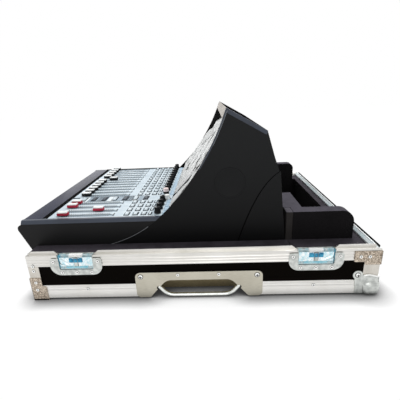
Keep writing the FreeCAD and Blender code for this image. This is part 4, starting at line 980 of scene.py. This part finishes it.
def hood_shapes():
    """Lip under the slope of the top, and the sloping cover behind it."""
    skin = down * 0.4
    back = horn_y(lip_z) + GLASS_SETBACK + 4.0
    lip = [*horn_arc(lip_z, tip_z - 1.2, steps=10), lip_start + skin, tip + slope * LIP_DEPTH + skin,
           [back, lip_z]]
    cover = [lip_start, crown, crown + down * HOOD_SHEET, lip_start + down * HOOD_SHEET]
    return [prism(outline, -moulding, moulding, 0) for outline in (lip, cover)]


lip, cover = hood_shapes()
piece("hood_lip", [lip], hood_lip_painted_light_abs, stands_for="hood", bevel=0.8, segments=3)
piece("hood_cover", [cover], cover_abs, bevel=0.5)
softened("rear_panel", steel_paint, bevel=0.3)
softened("xlr_sockets", nickel, bevel=0.25, segments=1)
plain("base_pan", steel_paint)
softened("desk_feet", tyre, bevel=1.2, segments=3)
plain("main_board", board_green)
plain("power_supply", galvanised)
plain("fader_tracks", steel_paint)

# ---- tray: extrusions
RIB_PITCH = 6.0
RIB_DEPTH = 0.8
RAIL_WIDTH = 12.7
RAIL_LEG = 16.0
TONGUE_SETBACK = 8.0
TONGUE_WIDTH = 3.4
TONGUE_LEAN = 8.5            # how far the tongue's front end slopes back
NOTCH_SLOPE = 8.0            # the same beside a latch
EDGE_FACE = 29.6
EDGE_LEG = 26.0
LATCHES = ("front", "rear")
PAN_HALF = 35.0              # a latch's pan, and the gap for it in the rail
PAN_DROP = 31.0
PAN_METAL = 1.2
RECESS_HALF = 99.7           # gap in the lower angle for the handle
WELL_HALF = 15.2             # gap in it for a wheel
wall_out = case_x - METAL
wall_in = wall_out - PLY
edge_top = edge_z + EDGE_FACE
latch_y = [(span("latch_wing_%s_a" % p)[0][1] + span("latch_wing_%s_b" % p)[1][1]) / 2 for p in LATCHES]
wheel_y = [centre("wheel_" + p)[1] for p in LATCHES]
handle_y = centre("handle_plate")[1]


def ribbed_face(low, high, ribs_from, ribs_to, depth=RIB_DEPTH):
    """Outer face as (x, z) points: flutes of depth d |sin(pi t)|^0.7 between two heights, and flat
    bands beyond."""
    count = max(1, round((ribs_to - ribs_from) / RIB_PITCH))
    t = np.linspace(0, count, count * 6 + 1)
    x = case_x - depth * np.abs(np.sin(math.pi * t)) ** 0.7
    flutes = joined(x, ribs_from + t / count * (ribs_to - ribs_from))
    return [[case_x - 0.5, low], [case_x, low + 0.5], *flutes, [case_x, high - 1.2], [case_x - 1.2, high]]


def rail_section():
    """Lid rail: ribbed face, outer ledge, tongue with a sloping inner side, and inner leg."""
    tongue, inner = case_x - TONGUE_SETBACK, case_x - RAIL_WIDTH
    back = tongue - TONGUE_WIDTH
    foot = ledge_z - RAIL_LEG
    crest = [[tongue, ledge_z], [tongue, crest_z - 0.8], [tongue - 0.8, crest_z], [back + 1.4, crest_z],
             [back + 0.6, crest_z - 0.4], [inner, ledge_z - 1.5]]
    leg = [[inner, foot], [wall_in, foot], [wall_in, ledge_z - METAL], [wall_out, ledge_z - METAL],
           [wall_out, rail_z]]
    return np.array([*ribbed_face(rail_z, ledge_z, rail_z + 2.5, ledge_z - 3.4), *crest, *leg])


def angle_section():
    """Lower edge angle: outer face with two flutes near its top, and a plain leg under the floor."""
    inner = case_x - EDGE_LEG
    leg = [[wall_out, edge_top], [wall_out, edge_z + METAL], [inner, edge_z + METAL], [inner, edge_z]]
    return np.array([*ribbed_face(edge_z, edge_top, edge_top - 14.5, edge_top - 3.0, 0.35), *leg])


def mitre(x):
    """Place of the mitred rear end at each x: y = case_rear - (case_x - x)."""
    return case_rear - (case_x - x)


def side_runs(section, gaps, half):
    """Section carried along Y on the right, parted at gaps of one half width.  Above the ledge the
    ends lean back; the last one is mitred."""
    x, z = section.T
    above = np.clip(z - ledge_z, 0, None) / LEDGE_DROP
    starts = [case_front + above * TONGUE_LEAN] + [y + half + above * NOTCH_SLOPE for y in gaps]
    ends = [y - half - above * NOTCH_SLOPE for y in gaps] + [mitre(x)]
    return [loft([joined(x, start, z), joined(x, end, z)]) for start, end in zip(starts, ends)]


def rear_run(section):
    """Section turned to run along X behind the tray, mitred at both ends."""
    x, z = section.T
    return loft([joined(side * x, mitre(x), z) for side in (-1, 1)])


rail, angle = rail_section(), angle_section()
rail_runs = side_runs(rail, latch_y, PAN_HALF + PAN_METAL)
rail_runs += [mirrored(run) for run in side_runs(rail, [], 0)]
angle_runs = side_runs(angle, [handle_y], RECESS_HALF)
angle_runs += [mirrored(run) for run in side_runs(angle, wheel_y, WELL_HALF)]
piece("lid_rail_sides", rail_runs, aluminium, stands_for="lid_rails", sharp=25)
piece("lid_rail_rear", [rear_run(rail)], aluminium_rear, sharp=25)
SHADOW_LINE_INSET = 8.0             # ends of the painted shadow line from the corners
SHADOW_LINE_HEIGHT = 3.2
# Painted shadow: a black strip along the rear rail's ledge stands for the dark line there.
rear_shadow_line = cuboids([SHADOW_LINE_INSET - case_x, case_rear - 3.2, ledge_z - 0.1],
               [case_x - SHADOW_LINE_INSET, case_rear - 0.5, ledge_z + SHADOW_LINE_HEIGHT])
piece("lid_rail_rear_painted_shadow_line", [rear_shadow_line], black_rubber_and_shade, bevel=0.3)
FILM_INSET = 12.0
film_high = case_rear - TONGUE_SETBACK - TONGUE_WIDTH + 1.6
film_low = film_high - 5.0
film_line = [[film_high, crest_z + 0.1], [film_low, ledge_z - 1.0], [film_low, ledge_z - 1.4],
             [film_high, crest_z - 0.3]]
film = prism(film_line, FILM_INSET - case_x, case_x - FILM_INSET, 0)
piece("lid_rail_rear_film", [film], rail_film)
piece("edge_angle_sides", angle_runs, angle_aluminium, stands_for="edge_angles",
      sharp=25)
piece("edge_angle_rear", [rear_run(angle)], aluminium_rear, sharp=25)
sill_y = (case_front, case_front + METAL)
sill = rounded([[sill_y[0], edge_z + METAL], [sill_y[1], edge_z + METAL], [sill_y[1], edge_top],
                [sill_y[0], edge_top]], 0.4, 4)
piece("front_sill", [prism(sill, -wall_out, wall_out, 0)], aluminium_rear)

FRONT_POST = 22.0
REAR_POST = 30.0


def post(width, face, step):
    """Upright angle: an L of two legs in plan, with eased outer corner."""
    inner, wide, thick = case_x - width, face + step * width, face + step * METAL
    corner = [[inner, face], [case_x - 0.8, face], [case_x, face + step * 0.8], [case_x, wide],
              [wall_out, wide], [wall_out, thick], [inner, thick]]
    return prism(corner, edge_top, rail_z, 2)


posts = both([post(FRONT_POST, case_front, 1), post(REAR_POST, case_rear, -1)])
piece("corner_post_angles", posts, aluminium_post, bevel=0.2)
softened("tray_walls", laminate, bevel=0.3)
softened("tray_floor", laminate, bevel=0.3)

# ---- tray: braces
FOOT_BRACE_TOP = 52.0
FOOT_BRACE_WIDTH = 30.0
BRACE_DROP = 4.0
BRACE_WIDTH = 22.7
BRACE_HEEL = 29.0
BRACE_ARM = 50.0


def foot_brace_shapes():
    """Stepped outer plate with eased corners, its wrap round the front, and the sole."""
    front, toe = case_front - BRACE, case_front + FOOT_BRACE_WIDTH
    post_edge, inner = case_front + FRONT_POST, case_x - FRONT_POST
    top = FOOT_BRACE_TOP
    plate = rounded([[front, 0], [toe, 0], [toe, edge_top], [post_edge, edge_top], [post_edge, top],
                     [front, top]], [1.5, 2.0, 5.0, 2.0, 2.5, 0.8])
    wrap = rounded([[inner, 0.4], [face_x, 0.4], [face_x, top], [inner, top]], [3.0, 0.4, 0.4, 3.5], 5)
    sole = [[inner, front], [face_x, front], [face_x, toe], [inner, toe]]
    return [prism(plate, case_x, face_x, 0), prism(wrap, front, case_front, 1), prism(sole, 0, edge_z, 2)]


def rear_brace_shapes():
    """Upper rear brace: a long arm on the rail, a shorter drop on the post, and its rear face."""
    high = ledge_z - BRACE_DROP
    low, heel = high - BRACE_WIDTH, high - BRACE_HEEL
    arm, post_edge, rear = case_rear - BRACE_ARM, case_rear - REAR_POST, case_rear + BRACE
    inner = case_x - BRACE_ARM
    plate = rounded([[arm, high], [arm, low], [post_edge, low], [post_edge, heel], [rear, heel],
                     [rear, high]], [2.0, 2.0, 2.0, 2.0, 0.8, 0.8])
    back = rounded([[inner, high], [inner, low], [face_x, low], [face_x, high]], [3.0, 4.0, 0.4, 0.4], 5)
    return [prism(plate, case_x, face_x, 0), prism(back, case_rear, rear, 1)]


piece("galvanised_corner_braces", both(foot_brace_shapes() + rear_brace_shapes()), galvanised,
      stands_for="corner_braces", bevel=0.4)

# ---- tray: ball corners
BALL_HALF = np.array([17.0, 18.8, 16.8])
BALL_POWER = 3.1             # 2 is a sphere, more is squarer
LUG_FROM_REAR = 39.5
LUG_HEIGHT = 45.4
LUG_RADIUS = 9.6
LIP_RADIUS = 1.9
ball_middle = np.append(span("ball_corners")[1][:2], 2 * BALL_HALF[2]) - BALL_HALF


def ball_shell():
    """Squared ball: each direction's unit vector is divided by its p-norm, so |x|^p + |y|^p +
    |z|^p is the same all over it."""
    polar, angle = np.linspace(0.03, math.pi - 0.03, 40)[:, None], circle(64)
    way = joined(np.sin(polar) * np.cos(angle), np.sin(polar) * np.sin(angle), np.cos(polar))
    size = (np.abs(way) ** BALL_POWER).sum(-1, keepdims=True) ** (1 / BALL_POWER)
    return loft(ball_middle + BALL_HALF * way / size)


def ear_edge(corner, t):
    """Wavy upper edge of an ear at shares t of the way from its lug's neck to the corner."""
    start = corner - LUG_FROM_REAR - BRACE + LUG_RADIUS * 1.15
    return joined(start + (corner - start) * t, LUG_HEIGHT + 1.6 * np.sin(t * 5.2 - 0.2) - 1.2 * t)


def ear_outline(corner):
    """Ear on one face: foot on the edge angle, neck, round lug, and the wavy edge to the corner."""
    lug, foot = corner - LUG_FROM_REAR - BRACE, edge_z + 0.4
    angle = np.radians(np.linspace(235, 5, 22))
    swell = joined(lug + LUG_RADIUS * np.cos(angle), LUG_HEIGHT + LUG_RADIUS * np.sin(angle))
    edge = ear_edge(corner, np.linspace(0, 1, 16))
    return [[lug - 3.0, foot], [lug - 3.5, 20.0], *swell, *edge, [corner, foot]]


corner_shapes, highlight_lips = [ball_shell()], []
for axis, corner, face in ((0, case_rear + BRACE, case_x), (1, face_x, case_rear)):
    corner_shapes.append(prism(ear_outline(corner), face, face + BRACE, axis))
    rolled_edge = ear_edge(corner, np.linspace(0.02, 0.98, 26)) - [0, 1.0]
    highlight_lips.append(tube(np.insert(rolled_edge, axis, face + 1.2, axis=1), LIP_RADIUS, 12))
piece("ball_corner_pressings", both(corner_shapes), zinc, stands_for="ball_corners", bevel=0.4)
# Painted highlight: the rolled lip of each ear is the pressing's zinc, drawn in the brighter rivet finish so
# that it shines.
piece("ball_corner_lip_highlights", both(highlight_lips), bright_zinc_and_highlight, sharp=60)

# ---- latches
LATCH_HALF = 52.0
LATCH_DROP = 42.5
HUB_HALF = 3.5
EAR_DROP = 5.5               # plate's ears below the ledge
LABEL_HALF = 13.3
STRIP_HALF = 22.0
SILL_RISE = 9.0              # film bridges the pan's lower corner up to here
pan_z = ledge_z - PAN_DROP
pan_top = ledge_z + 1.2
hub_low = pan_z + 7.5
hub_high = hub_low + 18.0
ink_z = (hub_low + 8.0, hub_low + 17.0)


def tub(y, half, low, radii, steps):
    """Outline (y, z) open at the ear's height, round in its lower corners."""
    ear = ledge_z - EAR_DROP
    corners = [[y - half, ear], [y - half, low], [y + half, low], [y + half, ear]]
    return rounded(corners, [*radii, *radii[::-1]], steps)


def latch_shapes(y):
    """Plate with rounded shoulders round a recessed pan: its walls, its back, the hub between the
    wings, and a rolled rim round the window."""
    outline = tub(y, LATCH_HALF, ledge_z - LATCH_DROP, [6.0, 20.0], 10)
    window = tub(y, -PAN_HALF, pan_z, [0.1, 4.0], 8)
    outer, low, near, far = face_x - 0.2, pan_z - PAN_METAL, y - PAN_HALF, y + PAN_HALF
    walls = cuboids([[wall_in, near - PAN_METAL, low], [wall_in, far, low], [wall_in, near, low],
                     [wall_in, near, pan_z]],
                    [[outer, near, pan_top], [outer, far + PAN_METAL, pan_top], [outer, far, pan_z],
                     [wall_in + PAN_METAL, far, pan_top]])
    rolled = tube(np.insert(window[6:-6], 0, face_x - 0.3, axis=1), 0.9, 10)
    hub = cuboids([wall_in, y - HUB_HALF, hub_low], [case_x - 0.3, y + HUB_HALF, hub_high])
    return [prism(np.concatenate([outline, window]), case_x, face_x, 0), walls, rolled, hub]


latch_pieces = [shape for y in latch_y for shape in latch_shapes(y)]
piece("latch_dish_pressings", latch_pieces, zinc, stands_for="latch_dishes", bevel=0.3)


def film_patch(name, corner, across, along, finish, seed, height):
    """Creased film from a corner along two edges, lifted square to them at its folds."""
    across, along = np.array(across), np.array(along)
    long, wide = np.linalg.norm(across), np.linalg.norm(along)
    u, v = np.meshgrid(np.linspace(0, 1, 46), np.linspace(0, 1, 26), indexing="ij")
    lift = creases(u * long, v * wide, seed, 5, 7.0)
    out = np.cross(across, along) / (long * wide)
    points = corner + u[..., None] * across + v[..., None] * along + out * (lift * height)[..., None]
    film_piece(name, points, lift, finish)


film_x = wall_in + PAN_METAL + 0.5
rise = pan_top - pan_z
latch_bars = [
    ["pale_label", LABEL_HALF, (film_x, case_x - 1.5), (hub_high + 1.1, pan_top - 0.6), cap_white,
     "bright_zinc", 0.3],
    ["cyan_strip", STRIP_HALF, (case_x - 2.4, case_x - 1.2), (hub_low - 4.6, hub_low - 1.2), film_cyan,
     "bright_zinc", 0.3],
    ["hub_ink", HUB_HALF - 0.2, (case_x - 1.4, case_x - 0.2), ink_z, film_ink, "screen_glass", 0.2],
]
for place, y, outward in zip(LATCHES, latch_y, (-1, 1)):
    name = "latch_%s_" % place
    near = y - PAN_HALF
    film_patch(name + "back_film", [film_x, near + 0.5, pan_z + 0.5], [0, 2 * PAN_HALF - 1, 0],
               [0, 0, rise - 2], dish_film, 4 + outward, 2.0)
    film_patch(name + "sill_film", [case_x - 0.8, near + 1, pan_z + 0.8], [0, 2 * PAN_HALF - 2, 0],
               [film_x - case_x + 1, 0, SILL_RISE], dish_film, 11 + outward, 0.8)
    end = y + outward * (PAN_HALF - 0.4)
    foot = pan_z + 3 + (rise - 5) * (outward > 0)
    film_patch(name + "end_film", [case_x - 0.5, end, foot], [film_x - case_x, 0, 0],
               [0, 0, -outward * (rise - 5)], film_fold, 21 + outward, 0.6)
    for part, half, x, z, finish, slot, bevel in latch_bars:
        bar = cuboids([x[0], y - half, z[0]], [x[1], y + half, z[1]])
        piece(name + part, [bar], finish, bevel=bevel)

# ---- latches: wings
WING_LENGTH = 27.0
WING_AXIS = 5.7
BARREL_RADIUS = 1.85
FAN_RIBS = 4


def wing_shapes(y, side):
    """Folding wing: a leaf whose outer part is pressed into ribs that fan out from the lower inner
    corner, and its barrel.  Rib height follows cos of the angle about that corner."""
    axis_x, axis_y = case_x - 2.2, y + side * WING_AXIS
    low, high = hub_low - 0.5, hub_high + 0.5
    u, v = np.meshgrid(np.linspace(0, 1, 44), np.linspace(0, 1, 34), indexing="ij")
    reach, height = u * WING_LENGTH, low + v * (high - low)
    about = np.arctan2(height - low + 3.0, reach + 1.0)
    grown = np.clip((reach - 9) / 4, 0, 1) * np.clip((WING_LENGTH - reach) / 1.5, 0, 1)
    ribs = np.cos(about * FAN_RIBS * 4) * np.clip(v * 6, 0, 1) * np.clip((1 - v) * 6, 0, 1)
    leaf = slab(*(joined(axis_x + depth, axis_y + side * reach, height)
                  for depth in (0.75 + 0.65 * ribs * grown, -1.0)))
    barrel = turned([[BARREL_RADIUS, low], [BARREL_RADIUS, high]], [axis_x, axis_y, 0], 2, 18)
    return [leaf, barrel]


for place, y in zip(LATCHES, latch_y):
    for wing_name, side in (("a", -1), ("b", 1)):
        node = "latch_wing_%s_%s" % (place, wing_name)
        piece(node + "_leaf", wing_shapes(y, side), filmed_zinc, node, stands_for=node)
        start, end = sorted((y + side * (HUB_HALF + 0.4), y + side * LABEL_HALF))
        ink = cuboids([case_x - 1.3, start, ink_z[0]], [case_x - 0.2, end, ink_z[1]])
        piece(node + "_ink", [ink], film_ink, node, bevel=0.3)

# ---- handle
MOUTH_TOP = 42.0
MOUTH_HALF = 64.5
MOUTH_FOOT_HALF = 99.0
BAR_RADIUS = 4.0
ROD_NOTCH = 0.4              # room round a rod in the plate
GRIP_HALF = 63.5
ROD_HALFWAY = 215.0          # a place on each rod between its ends
bar_low, bar_high = span("pull_handle")
bar_x = bar_high[0] - BAR_RADIUS
grip_z, rod_z = bar_low[2] + BAR_RADIUS, bar_high[2] - BAR_RADIUS
ROD_HALF = (bar_high[1] - bar_low[1]) / 2 - BAR_RADIUS


def handle_plate_outline():
    """Plate with round corners and a mouth open at the foot, its upper corners rounded."""
    (_, near, foot), (_, far, top) = span("handle_plate")
    mouth = [[handle_y + MOUTH_FOOT_HALF, foot], [handle_y + MOUTH_HALF, MOUTH_TOP],
             [handle_y - MOUTH_HALF, MOUTH_TOP], [handle_y - MOUTH_FOOT_HALF, foot]]
    return rounded([[near, foot], [near, top], [far, top], [far, foot], *mouth],
                   [9.0, 11.0, 11.0, 9.0, 5.0, 22.0, 22.0, 5.0], 10)


def notched(outline, place, radius, outward):
    """Outline with a half circle let in where its edge passes a rod: place + r (cos t e + sin t n),
    with e along the edge and n square to it."""
    run = np.roll(outline, -1, axis=0) - outline
    share = np.clip(((place - outline) * run).sum(1) / (run ** 2).sum(1), 0, 1)
    n = np.argmin(np.linalg.norm(outline + share[:, None] * run - place, axis=1))
    ahead = unit(run[n])
    square = np.array([ahead[1], -ahead[0]])
    square *= np.sign(square @ outward)
    t = np.linspace(math.pi, 0, 14)[:, None]
    return np.insert(outline, n + 1, place + radius * (np.cos(t) * ahead + np.sin(t) * square), axis=0)


plate_outline = handle_plate_outline()
for side in (-1, 1):
    rod_place = np.array([handle_y + side * ROD_HALF, rod_z])
    plate_outline = notched(plate_outline, rod_place, BAR_RADIUS + ROD_NOTCH, [side, 0])
piece("handle_plate_sheet", [prism(plate_outline, case_x, face_x, 0)], stainless,
      stands_for="handle_plate", bevel=0.35)
softened("handle_housing", recess_steel, bevel=0.2, segments=1)


def bar_path():
    """Straight grip with an arc at each bend, and the two rising ends up to the rods."""
    end, bend = np.array([ROD_HALF, rod_z]), np.array([GRIP_HALF, grip_z])
    past = end + (end - bend) * 2
    steps = 14
    line = rounded([past * [-1, 1], bend * [-1, 1], bend, past], [1.0, 30.0, 30.0, 1.0], steps)[steps:-steps]
    return np.insert(np.array([end * [-1, 1], *line, end]) + [handle_y, 0], 0, bar_x, axis=1)


def elbow(place, steps=14):
    """Sphere where the bar meets a rod, as rings of latitude closed by tiny caps at its poles."""
    polar = np.linspace(0.05, math.pi - 0.05, steps)
    return turned(BAR_RADIUS * joined(np.sin(polar), -np.cos(polar)), place, 2, steps * 2)


shapes = [tube(bar_path(), BAR_RADIUS)]
for y in (handle_y - ROD_HALF, handle_y + ROD_HALF):
    rod = [[x, y, rod_z] for x in (bar_x + 0.01, bar_x - ROD_HALFWAY, bar_low[0])]
    shapes += [tube(rod, BAR_RADIUS), elbow([bar_x, y, rod_z])]
piece("pull_bar", shapes, chrome, "pull_handle", stands_for="pull_handle")

# ---- wheels
WHEEL_BORE = 4.08
TREAD_ROUND = [[0.6, 2.5], [0.0, 5.0]]      # inset from the tread and from the side
HUB_RINGS = [[WHEEL_BORE, 0], [15, 0], [16, 2], [17.5, 2], [18, 0], [21, 0]]
for place in LATCHES:
    node = "wheel_" + place
    low, high = span(node)
    radius, half = (high[2] - low[2]) / 2, (high[1] - low[1]) / 2
    side = np.array(HUB_RINGS + [[radius - inset, depth] for inset, depth in TREAD_ROUND]) - [0, half]
    section = np.concatenate([side, side[::-1] * [1, -1], side[:1]])
    piece(node + "_tyre", [turned(section, centre(node), 1, 48)], tyre, node, stands_for=node)
plain("wheel_wells", recess_steel)

# ---- foam
STRIP_GAP = 1.5              # joint between two lining strips behind the desk
BLOCK_FRONT = 195.6
BLOCK_ARM = 37.8             # front to back, of the arm that crosses behind the desk
BLOCK_LEG = 27.6             # width of the leg beside the lid rail
END_STRIP = 14.0             # end of the cross sheet, glued in front of the side sheet
FAR_FORWARD = 14.0           # how much further forward the left block stands
strip_joint = ((0, rear_foot_y + STRIP_GAP, 0), (0, 1, 0))
softened("foam_lining", foam, bevel=0.9, segments=3, cut=strip_joint)
block_low, block_high = span("foam_blocks")
block_reach = desk_side - min(low[0] for low, high in separate_solids("foam_blocks") if low[0] > 0)
leg_x = desk_side - BLOCK_LEG


def block_shapes(forward, top_round):
    """L of foam behind a corner of the desk: the cross sheet, the leg, whose top edge is rounded off
    at the back, and the cross sheet's end, which shows beside the leg."""
    front, back = BLOCK_FRONT - forward, block_high[1] - forward
    floor, top = block_low[2], block_high[2]
    joint = front + END_STRIP
    arm = cuboids([desk_side - block_reach, front, floor], [leg_x, front + BLOCK_ARM, top])
    end = cuboids([leg_x, front, floor], [desk_side, joint - GLUE_LINE, top])
    side = rounded([[joint, floor], [joint, top], [back, top], [back, floor]], [0.1, 0.1, top_round, 0.1], 12)
    return arm, prism(side, leg_x, desk_side, 0), end


near_arm, near_leg, near_end = block_shapes(0, 25.0)
far_arm, far_leg, far_end = (mirrored(shape) for shape in block_shapes(FAR_FORWARD, 16.0))
sheets = piece("foam_block_sheets", [near_arm, near_leg, far_arm, far_leg], block_foam,
               stands_for="foam_blocks", bevel=1.4, segments=4)
# Painted light: the ends use the lighter copy of the foam.
piece("foam_block_end_strips", [near_end, far_end], painted_lit_end_foam, bevel=1.4, segments=4)

# ---- fasteners
SCREW_SPREAD = 8.0           # heads wider than this are screws
RIVET_SPREAD = 1.4           # radius of a pressed rivet head against the blank's
RIVET_HEAD = [[0.0, 0.35], [0.35, 0.35], [0.39, 1.0], [0.93, 1.0], [1.0, 0.3], [1.0, 0.0], [0.0, -0.02]]
SCREW_HEAD = [[0.0, 2.3], [0.5, 2.2], [0.85, 1.6], [1.0, 0.7], [1.0, 0.0], [0.0, -0.02]]


def head(profile, place, radius, side, steps):
    """Head turned from shares of its radius against heights: a rivet's has a round pit where its pin
    broke off, and a screw's is a low dome."""
    share, height = np.transpose(profile)
    return turned(joined(np.maximum(share * radius, AXIS), side * height), place, 0, steps)


def drive_cross(place, radius, side):
    """Two dark bars across a screw's dome: painted shade of its cross recess."""
    long, wide = radius * 0.62, radius * 0.15
    reach = np.array([[0, long, wide], [0, wide, long]])
    depth = np.sort([side * 1.7, side * 2.38])
    return cuboids(place - reach + [depth[0], 0, 0], place + reach + [depth[1], 0, 0])


heads, fastener_shades = [], []
for low, high in separate_solids("fasteners"):
    side = np.sign(low[0])
    radius = (high[1] - low[1]) / 2
    place = np.array([low[0] if side > 0 else high[0], *(low[1:] + high[1:]) / 2])
    if radius * 2 > SCREW_SPREAD:
        heads.append(head(SCREW_HEAD, place, radius, side, 28))
        # Painted shade: a dark cross on each screw, and a dark ring round its foot.
        fastener_shades += [drive_cross(place, radius, side), disc(place, 0, radius * 1.2, -0.02, side * 0.12, 28)]
    else:
        radius *= RIVET_SPREAD
        heads.append(head(RIVET_HEAD, place, radius, side, 24))
        # Painted shade: a dark disc deep in each rivet's pit, and a dark ring round its foot.
        fastener_shades.append(disc(place, 0, radius * 0.38, side * 0.3, side * 0.9, 14))
        fastener_shades.append(disc(place, 0, radius + 0.35, -0.02, side * 0.08, 20))
piece("fastener_heads", heads, bright_zinc_and_highlight, stands_for="fasteners", sharp=50)
piece("fastener_painted_shade", fastener_shades, black_rubber_and_shade)

# ---- stage, light and camera
CAMERA_PLACE = (0.824668, 0.048353, 0.390976)
CAMERA_YAW = -0.045878       # turn about Z from looking along -X
CAMERA_PITCH = 0.330809      # downwards
CAMERA_ROLL = -0.045117
CAMERA_LENS = 27.90
SENSOR_WIDTH = 36.0


def aim(yaw, pitch, roll):
    """Camera axes from yaw, pitch and roll: forward, then right = forward x up, rolled about it."""
    ahead = np.array([-math.cos(pitch) * math.cos(yaw), math.cos(pitch) * math.sin(yaw), -math.sin(pitch)])
    right = unit(np.cross(ahead, [0, 0, 1]))
    up = np.cross(right, ahead)
    level = math.cos(roll) * right + math.sin(roll) * up
    upright = -math.sin(roll) * right + math.cos(roll) * up
    return np.stack([level, upright, -ahead], 1)


def make_camera():
    """Camera at the place and aim above."""
    data = bpy.data.cameras.new("studio_camera")
    data.lens = CAMERA_LENS
    data.sensor_width = SENSOR_WIDTH
    data.clip_start = 0.01
    camera = shown("studio_camera", data)
    camera.rotation_euler = Matrix(aim(CAMERA_YAW, CAMERA_PITCH, CAMERA_ROLL).tolist()).to_euler()
    camera.location = CAMERA_PLACE
    bpy.context.scene.camera = camera


def seen_ray(tree):
    """1 for rays from the camera, from a reflection or through glass, and 0 for the rest."""
    path = add(tree, "LightPath").outputs
    first = add(tree, "Math", {"operation": "MAXIMUM"}, {0: path["Is Camera Ray"], 1: path["Is Glossy Ray"]})
    return add(tree, "Math", {"operation": "MAXIMUM"}, {0: first, 1: path["Is Transmission Ray"]})


WHITE = (1, 1, 1, 1)
WORLD_LIGHT = 0.45           # what the room sheds on matt surfaces
WORLD_REFLECTED = 0.86       # what shiny surfaces reflect of it


def make_world():
    """White room: full white where it is seen, and less in reflections and as light."""
    world = bpy.data.worlds.new("studio_white")
    bpy.context.scene.world = world
    tree = cleared(world)
    light, mirrored_light, white = (add(tree, "Background", {"Color": WHITE, "Strength": strength})
                                    for strength in (WORLD_LIGHT, WORLD_REFLECTED, 1.0))
    glossy = add(tree, "LightPath").outputs["Is Glossy Ray"]
    reflected = add(tree, "MixShader", {}, {0: glossy, 1: white, 2: mirrored_light})
    mix = add(tree, "MixShader", {}, {0: seen_ray(tree), 1: light, 2: reflected})
    add(tree, "OutputWorld", {}, {"Surface": mix})


FLOOR_REACH = 6.0
SHADOW_REACH = 0.038         # metres over which the tray darkens the floor beside it
RECESS_REACH = 0.12          # the same for the places under the handle's recess
RECESS_OPEN = (0.1, 0.48)    # open shares between which the floor there brightens
RECESS_DARKEST = 0.2
SHADOW_SAMPLES = 16
SHADOW_CONTRAST = 2.5        # power of the open share of the sky above a place on the floor
DARKEST = 0.43               # open share below which the floor gets no darker


def make_floor():
    """Pale seamless floor: white where it is open, and darker the more the tray stands over it."""
    data = bpy.data.meshes.new("studio_floor")
    data.from_pydata([(x * FLOOR_REACH, y * FLOOR_REACH, 0) for x, y in BLOCK.tolist()], [], [(0, 1, 2, 3)])
    made = bpy.data.materials.new("matt_white_studio_floor")
    tree = cleared(made)
    matt = add(tree, "BsdfDiffuse", {"Color": linear("#f6f6f6")})
    close = {"Distance": SHADOW_REACH, "samples": SHADOW_SAMPLES}
    near = add(tree, "AmbientOcclusion", close).outputs["AO"]
    beside = add(tree, "MapRange", {"From Min": DARKEST, "To Min": DARKEST}, {"Value": near})
    fade = add(tree, "Math", {"operation": "POWER", 1: SHADOW_CONTRAST}, {0: beside})
    wide = add(tree, "AmbientOcclusion", {**close, "Distance": RECESS_REACH}).outputs["AO"]
    limits = {"From Min": RECESS_OPEN[0], "From Max": RECESS_OPEN[1], "To Min": RECESS_DARKEST}
    inside = add(tree, "MapRange", limits, {"Value": wide})
    share = add(tree, "Math", {"operation": "MULTIPLY"}, {0: fade, 1: inside})
    glow = add(tree, "Emission", {"Color": WHITE}, {"Strength": share})
    faint = add(tree, "BsdfDiffuse", {"Color": linear("#1c1c1c")})
    seen = add(tree, "AddShader", {}, {0: glow, 1: faint})
    mix = add(tree, "MixShader", {}, {0: seen_ray(tree), 1: matt, 2: seen})
    add(tree, "OutputMaterial", {}, {"Surface": mix})
    data.materials.append(made)
    shown("studio_floor", data)


LAMPS = {                    # place, target, size and power
    "key_softbox": ((-1.1, 0.4, 2.1), (0, 0, 0.1), 1.4, 37.0),
    "front_softbox": ((-0.2, -2.0, 1.1), (0, 0, 0.2), 1.2, 17.0),
    "camera_softbox": ((2.2, 0.2, 0.9), (0, 0, 0.1), 1.2, 6.0),
    "far_rim_softbox": ((-2.3, -1.1, 0.6), (0, 0, 0.15), 0.8, 1.8),
}


def make_lamp(name, place, target, size, power):
    """Square lamp that faces its target."""
    data = bpy.data.lights.new(name, "AREA")
    data.shape = "SQUARE"
    data.size = size
    data.energy = power
    lamp = shown(name, data)
    lamp.location = place
    lamp.rotation_mode = "QUATERNION"
    lamp.rotation_quaternion = (Vector(target) - Vector(place)).to_track_quat("-Z", "Y")


make_camera()
make_world()
make_floor()
for name, settings in LAMPS.items():
    make_lamp(name, *settings)
bpy.context.scene.view_settings.view_transform = "Standard"
